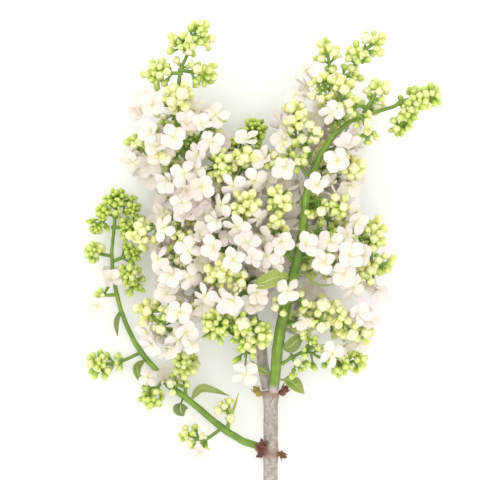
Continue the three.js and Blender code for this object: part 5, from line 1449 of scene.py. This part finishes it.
def makeScale():
    # a pointed blade along Y, its edges raised by the cup, its tip by the hook, with a skin below it
    rows, breadth = scaleShape["rows"], scaleShape["breadth"]
    bpy.ops.mesh.primitive_grid_add(x_subdivisions=4, y_subdivisions=len(rows) - 1, size=2,
                                    location=(0, 0, 0))
    blade = activeObject()

    def shareAt(place):
        return max(share for reach, share in rows if isAt(reach, place, 0.2))

    def raiseEdges(share, inRow):
        for part, lift in scaleShape["lifts"]:
            pickVerts(blade, lambda co: inRow(co) and isAt(abs(co.x), part * share * breadth))
            moveBy(0, 0, scaleShape["cup"] * share * breadth * lift)

    editMode(blade)
    narrowRows(blade, rows, breadth, lambda reach: scaleShape["hook"] * reach ** 3, raiseEdges)
    objectMode()
    setValues(blade, reach=lambda co: co.y, side=lambda co: co.x / (shareAt(co.y) * breadth))
    wall = blade.modifiers.new("wall", "SOLIDIFY")
    wall.thickness = scaleShape["thick"]
    wall.offset = 0
    applyModifiers(blade)
    smoothUnder(scaleShape["smooth"])
    blade.name = "scale"
    return blade


scale = makeScale()


def dressBud(draw, foot, tip, radius, tone):
    foot, tip = Vector(foot), Vector(tip)
    axis, length = (tip - foot).normalized(), (tip - foot).length
    place, wide, tall = scaleRules["core"]
    core = Matrix.Translation((foot + axis * length * place) * mm) @ turnedTo(axis)
    core = core @ Matrix.Diagonal((radius * wide * mm, radius * wide * mm, length * tall * mm, 1))
    parts = [copyTo(buds["greenBud"], core, reach=0.5, side=0.0, tone=tone)]
    for step, (place, share, lean) in enumerate(scaleTiers):
        for half in (0, math.pi):
            size = length * share * draw.uniform(*scaleRules["length"])
            facing = turnedTo(axis, step * math.pi / 2 + half + draw.uniform(*scaleRules["turn"]))
            stand = Matrix.Translation((foot + axis * length * place) * mm) @ facing
            # the scale stands along the axis, its hollow towards it, and leans out from its foot
            stand = stand @ Matrix.Translation((0, -radius * (scaleRules["out"] - place) * mm, 0))
            stand = stand @ Matrix.Rotation(lean * draw.uniform(*scaleRules["lean"]), 4, "X")
            stand = stand @ Matrix.Rotation(math.radians(90), 4, "X") @ Matrix.Rotation(math.pi, 4, "Y")
            wide = radius * scaleRules["wide"] / (scaleShape["breadth"] * size)
            stand = stand @ Matrix.Diagonal((size * wide * mm, size * mm, size * mm, 1))
            parts.append(copyTo(scale, stand, tone=tone))
    return parts


for budName, group in scaleBuds.items():
    draw = random.Random(budName)
    parts = [part for bud in group["buds"] for part in dressBud(draw, *bud, group["tone"])]
    finishPiece(joinAs(budName + "_dressed", parts), budName, scaleMaterial)
masters.append(scale)
print("bud scales")


# leaves and bracts: a stalk, a folded blade and its tip, laid along a line

leafShape = dict(across=6, along=16, thickness=0.7, rooted=0.7, fold=0.3, foldCurve=1.3,
                 leastWidth=0.45, tipWidth=0.12, lean=0.75, wave=0.35, waves=14)
leaves = {
    "upper_leaf_right": dict(line=[(5.9, 97.7, 26.9), (10, 97, 27), (14, 94, 28), (17.5, 90.5, 26.5)],
                             face=(0.2, 0.3, 1), width=7.5, stalk=0.12, tone=0.65),
    "upper_leaf_slim": dict(line=[(-0.7, 100.7, 27.5), (-5, 103, 28), (-9.7, 107.5, 28.5)],
                            face=(0.2, 0.2, 1), width=3.4, tone=0.7),
    "olive_leaf": dict(line=[(7.2, 113.8, 35.3), (10.5, 115, 37.5), (14, 118.5, 38), (17.8, 120.5, 36)],
                       face=(0, -0.2, 1), width=7.5, tone=0.35),
    "broad_bract": dict(line=[(9, 149.5, 49.5), (3, 149.5, 53), (-3.5, 147, 54), (-10, 144, 51.5)],
                        face=(0, -0.1, 1), width=9, lean=0.85, tone=0.85),
    "curled_bract": dict(line=[(14.1, 150.9, 51.1), (18.4, 150.8, 56.5), (21, 147, 58), (26, 145.2, 58),
                               (32.5, 146.7, 55.5)], face=(0.1, 0.4, 1), width=2, tone=0.45),
    "pointed_leaf": dict(line=[(-39.2, 87.8, 12), (-35, 93, 17), (-29, 92.4, 18.5), (-20, 89, 16)],
                         face=(0, -0.2, 1), width=4.6, tone=0.5),
    "round_leaf": dict(line=[(-44.3, 86.8, 11.8), (-45, 84.5, 13.6), (-45, 81.5, 14.2), (-43.4, 78.8, 14)],
                       face=(0, 0, 1), width=8, stalk=0.25, tone=0.05),
    "long_leaf": dict(line=[(-63.8, 106.6, 10.3), (-67.3, 103.5, 14), (-66, 98.5, 15), (-63.6, 94, 12.5)],
                      face=(0.2, 0, 1), width=4.4, tone=0.4),
    "upright_bract": dict(line=[(19.6, 160.5, 53.5), (21, 165, 57), (20.8, 171, 58), (18.6, 176.5, 57.5)],
                          face=(0.3, 0, 1), width=3.2, tone=0.3, node="right_panicle_stem"),
    "hanging_bract": dict(line=[(-75.6, 132, 9.8), (-77.4, 127.5, 11.5), (-77.6, 123, 11.5),
                                (-76.9, 119, 10)], face=(0, 0, 1), width=2.8, tone=0.25, node="side_branch"),
    "pale_bract": dict(line=[(-20.6, 72, 13), (-19.6, 79, 17), (-17.4, 85, 18.5), (-15.7, 91, 18.5)],
                       face=(0, 0, 1), width=1.8, tone=1.0, node="side_branch"),
}


def lineAt(points, share):
    # a smooth line through the points, and its direction, at a share of the way
    place = min(share, 0.9999) * (len(points) - 1)
    index = int(place)
    t = place - index
    first, second = points[index], points[index + 1]
    before = points[index - 1] if index else first * 2 - second
    after = points[index + 2] if index + 2 < len(points) else second * 2 - first
    spot = 0.5 * (2 * first + (second - before) * t + (2 * before - 5 * first + 4 * second - after) * t * t
                  + (3 * first - before - 3 * second + after) * t ** 3)
    slope = 0.5 * ((second - before) + 2 * (2 * before - 5 * first + 4 * second - after) * t
                   + 3 * (3 * first - before - 3 * second + after) * t * t)
    return spot, slope.normalized()


def halfWidthAt(leaf, share):
    start = leaf.get("stalk", 0)
    if share <= start:
        return leafShape["leastWidth"]
    swell = math.sin(math.pi * ((share - start) / (1 - start)) ** leaf.get("lean", leafShape["lean"]))
    return max(leaf["width"] / 2 * swell, leafShape["leastWidth" if share < 0.5 else "tipWidth"])


def makeLeaf(name, leaf):
    bpy.ops.mesh.primitive_grid_add(x_subdivisions=leafShape["across"], y_subdivisions=leafShape["along"],
                                    size=2, location=(0, 0, 0))
    blade = activeObject()
    points = [Vector(place) for place in leaf["line"]]
    points[0] = points[0] + (points[0] - points[1]).normalized() * leafShape["rooted"]
    face = Vector(leaf["face"]).normalized()
    setValues(blade, along=lambda co: (co.y + 1) / 2, side=lambda co: co.x, tone=lambda co: leaf["tone"])
    for vert in blade.data.vertices:
        side, share = vert.co.x, (vert.co.y + 1) / 2
        centre, axis = lineAt(points, share)
        across = axis.cross(face).normalized()
        above = across.cross(axis).normalized()
        half = halfWidthAt(leaf, share)
        wave = leafShape["wave"] * math.sin(share * leafShape["waves"] + side * 2) * side * side * half / 4
        lift = half * leafShape["fold"] * abs(side) ** leafShape["foldCurve"] + wave
        vert.co = (centre + across * side * half + above * lift) * mm
    wall = blade.modifiers.new("wall", "SOLIDIFY")
    wall.thickness = leafShape["thickness"] * mm
    wall.offset = 0
    smooth = blade.modifiers.new("smooth", "SUBSURF")
    smooth.levels = smooth.render_levels = 1
    applyModifiers(blade)
    editMode(blade)
    makeOutward()
    objectMode()
    bpy.ops.object.shade_smooth()
    blade.name = name + "_blade"
    finishPiece(blade, leaf.get("node", name), leafMaterial)


for leafName, leaf in leaves.items():
    makeLeaf(leafName, leaf)
print("leaves")

for master in masters:
    bpy.data.objects.remove(master)
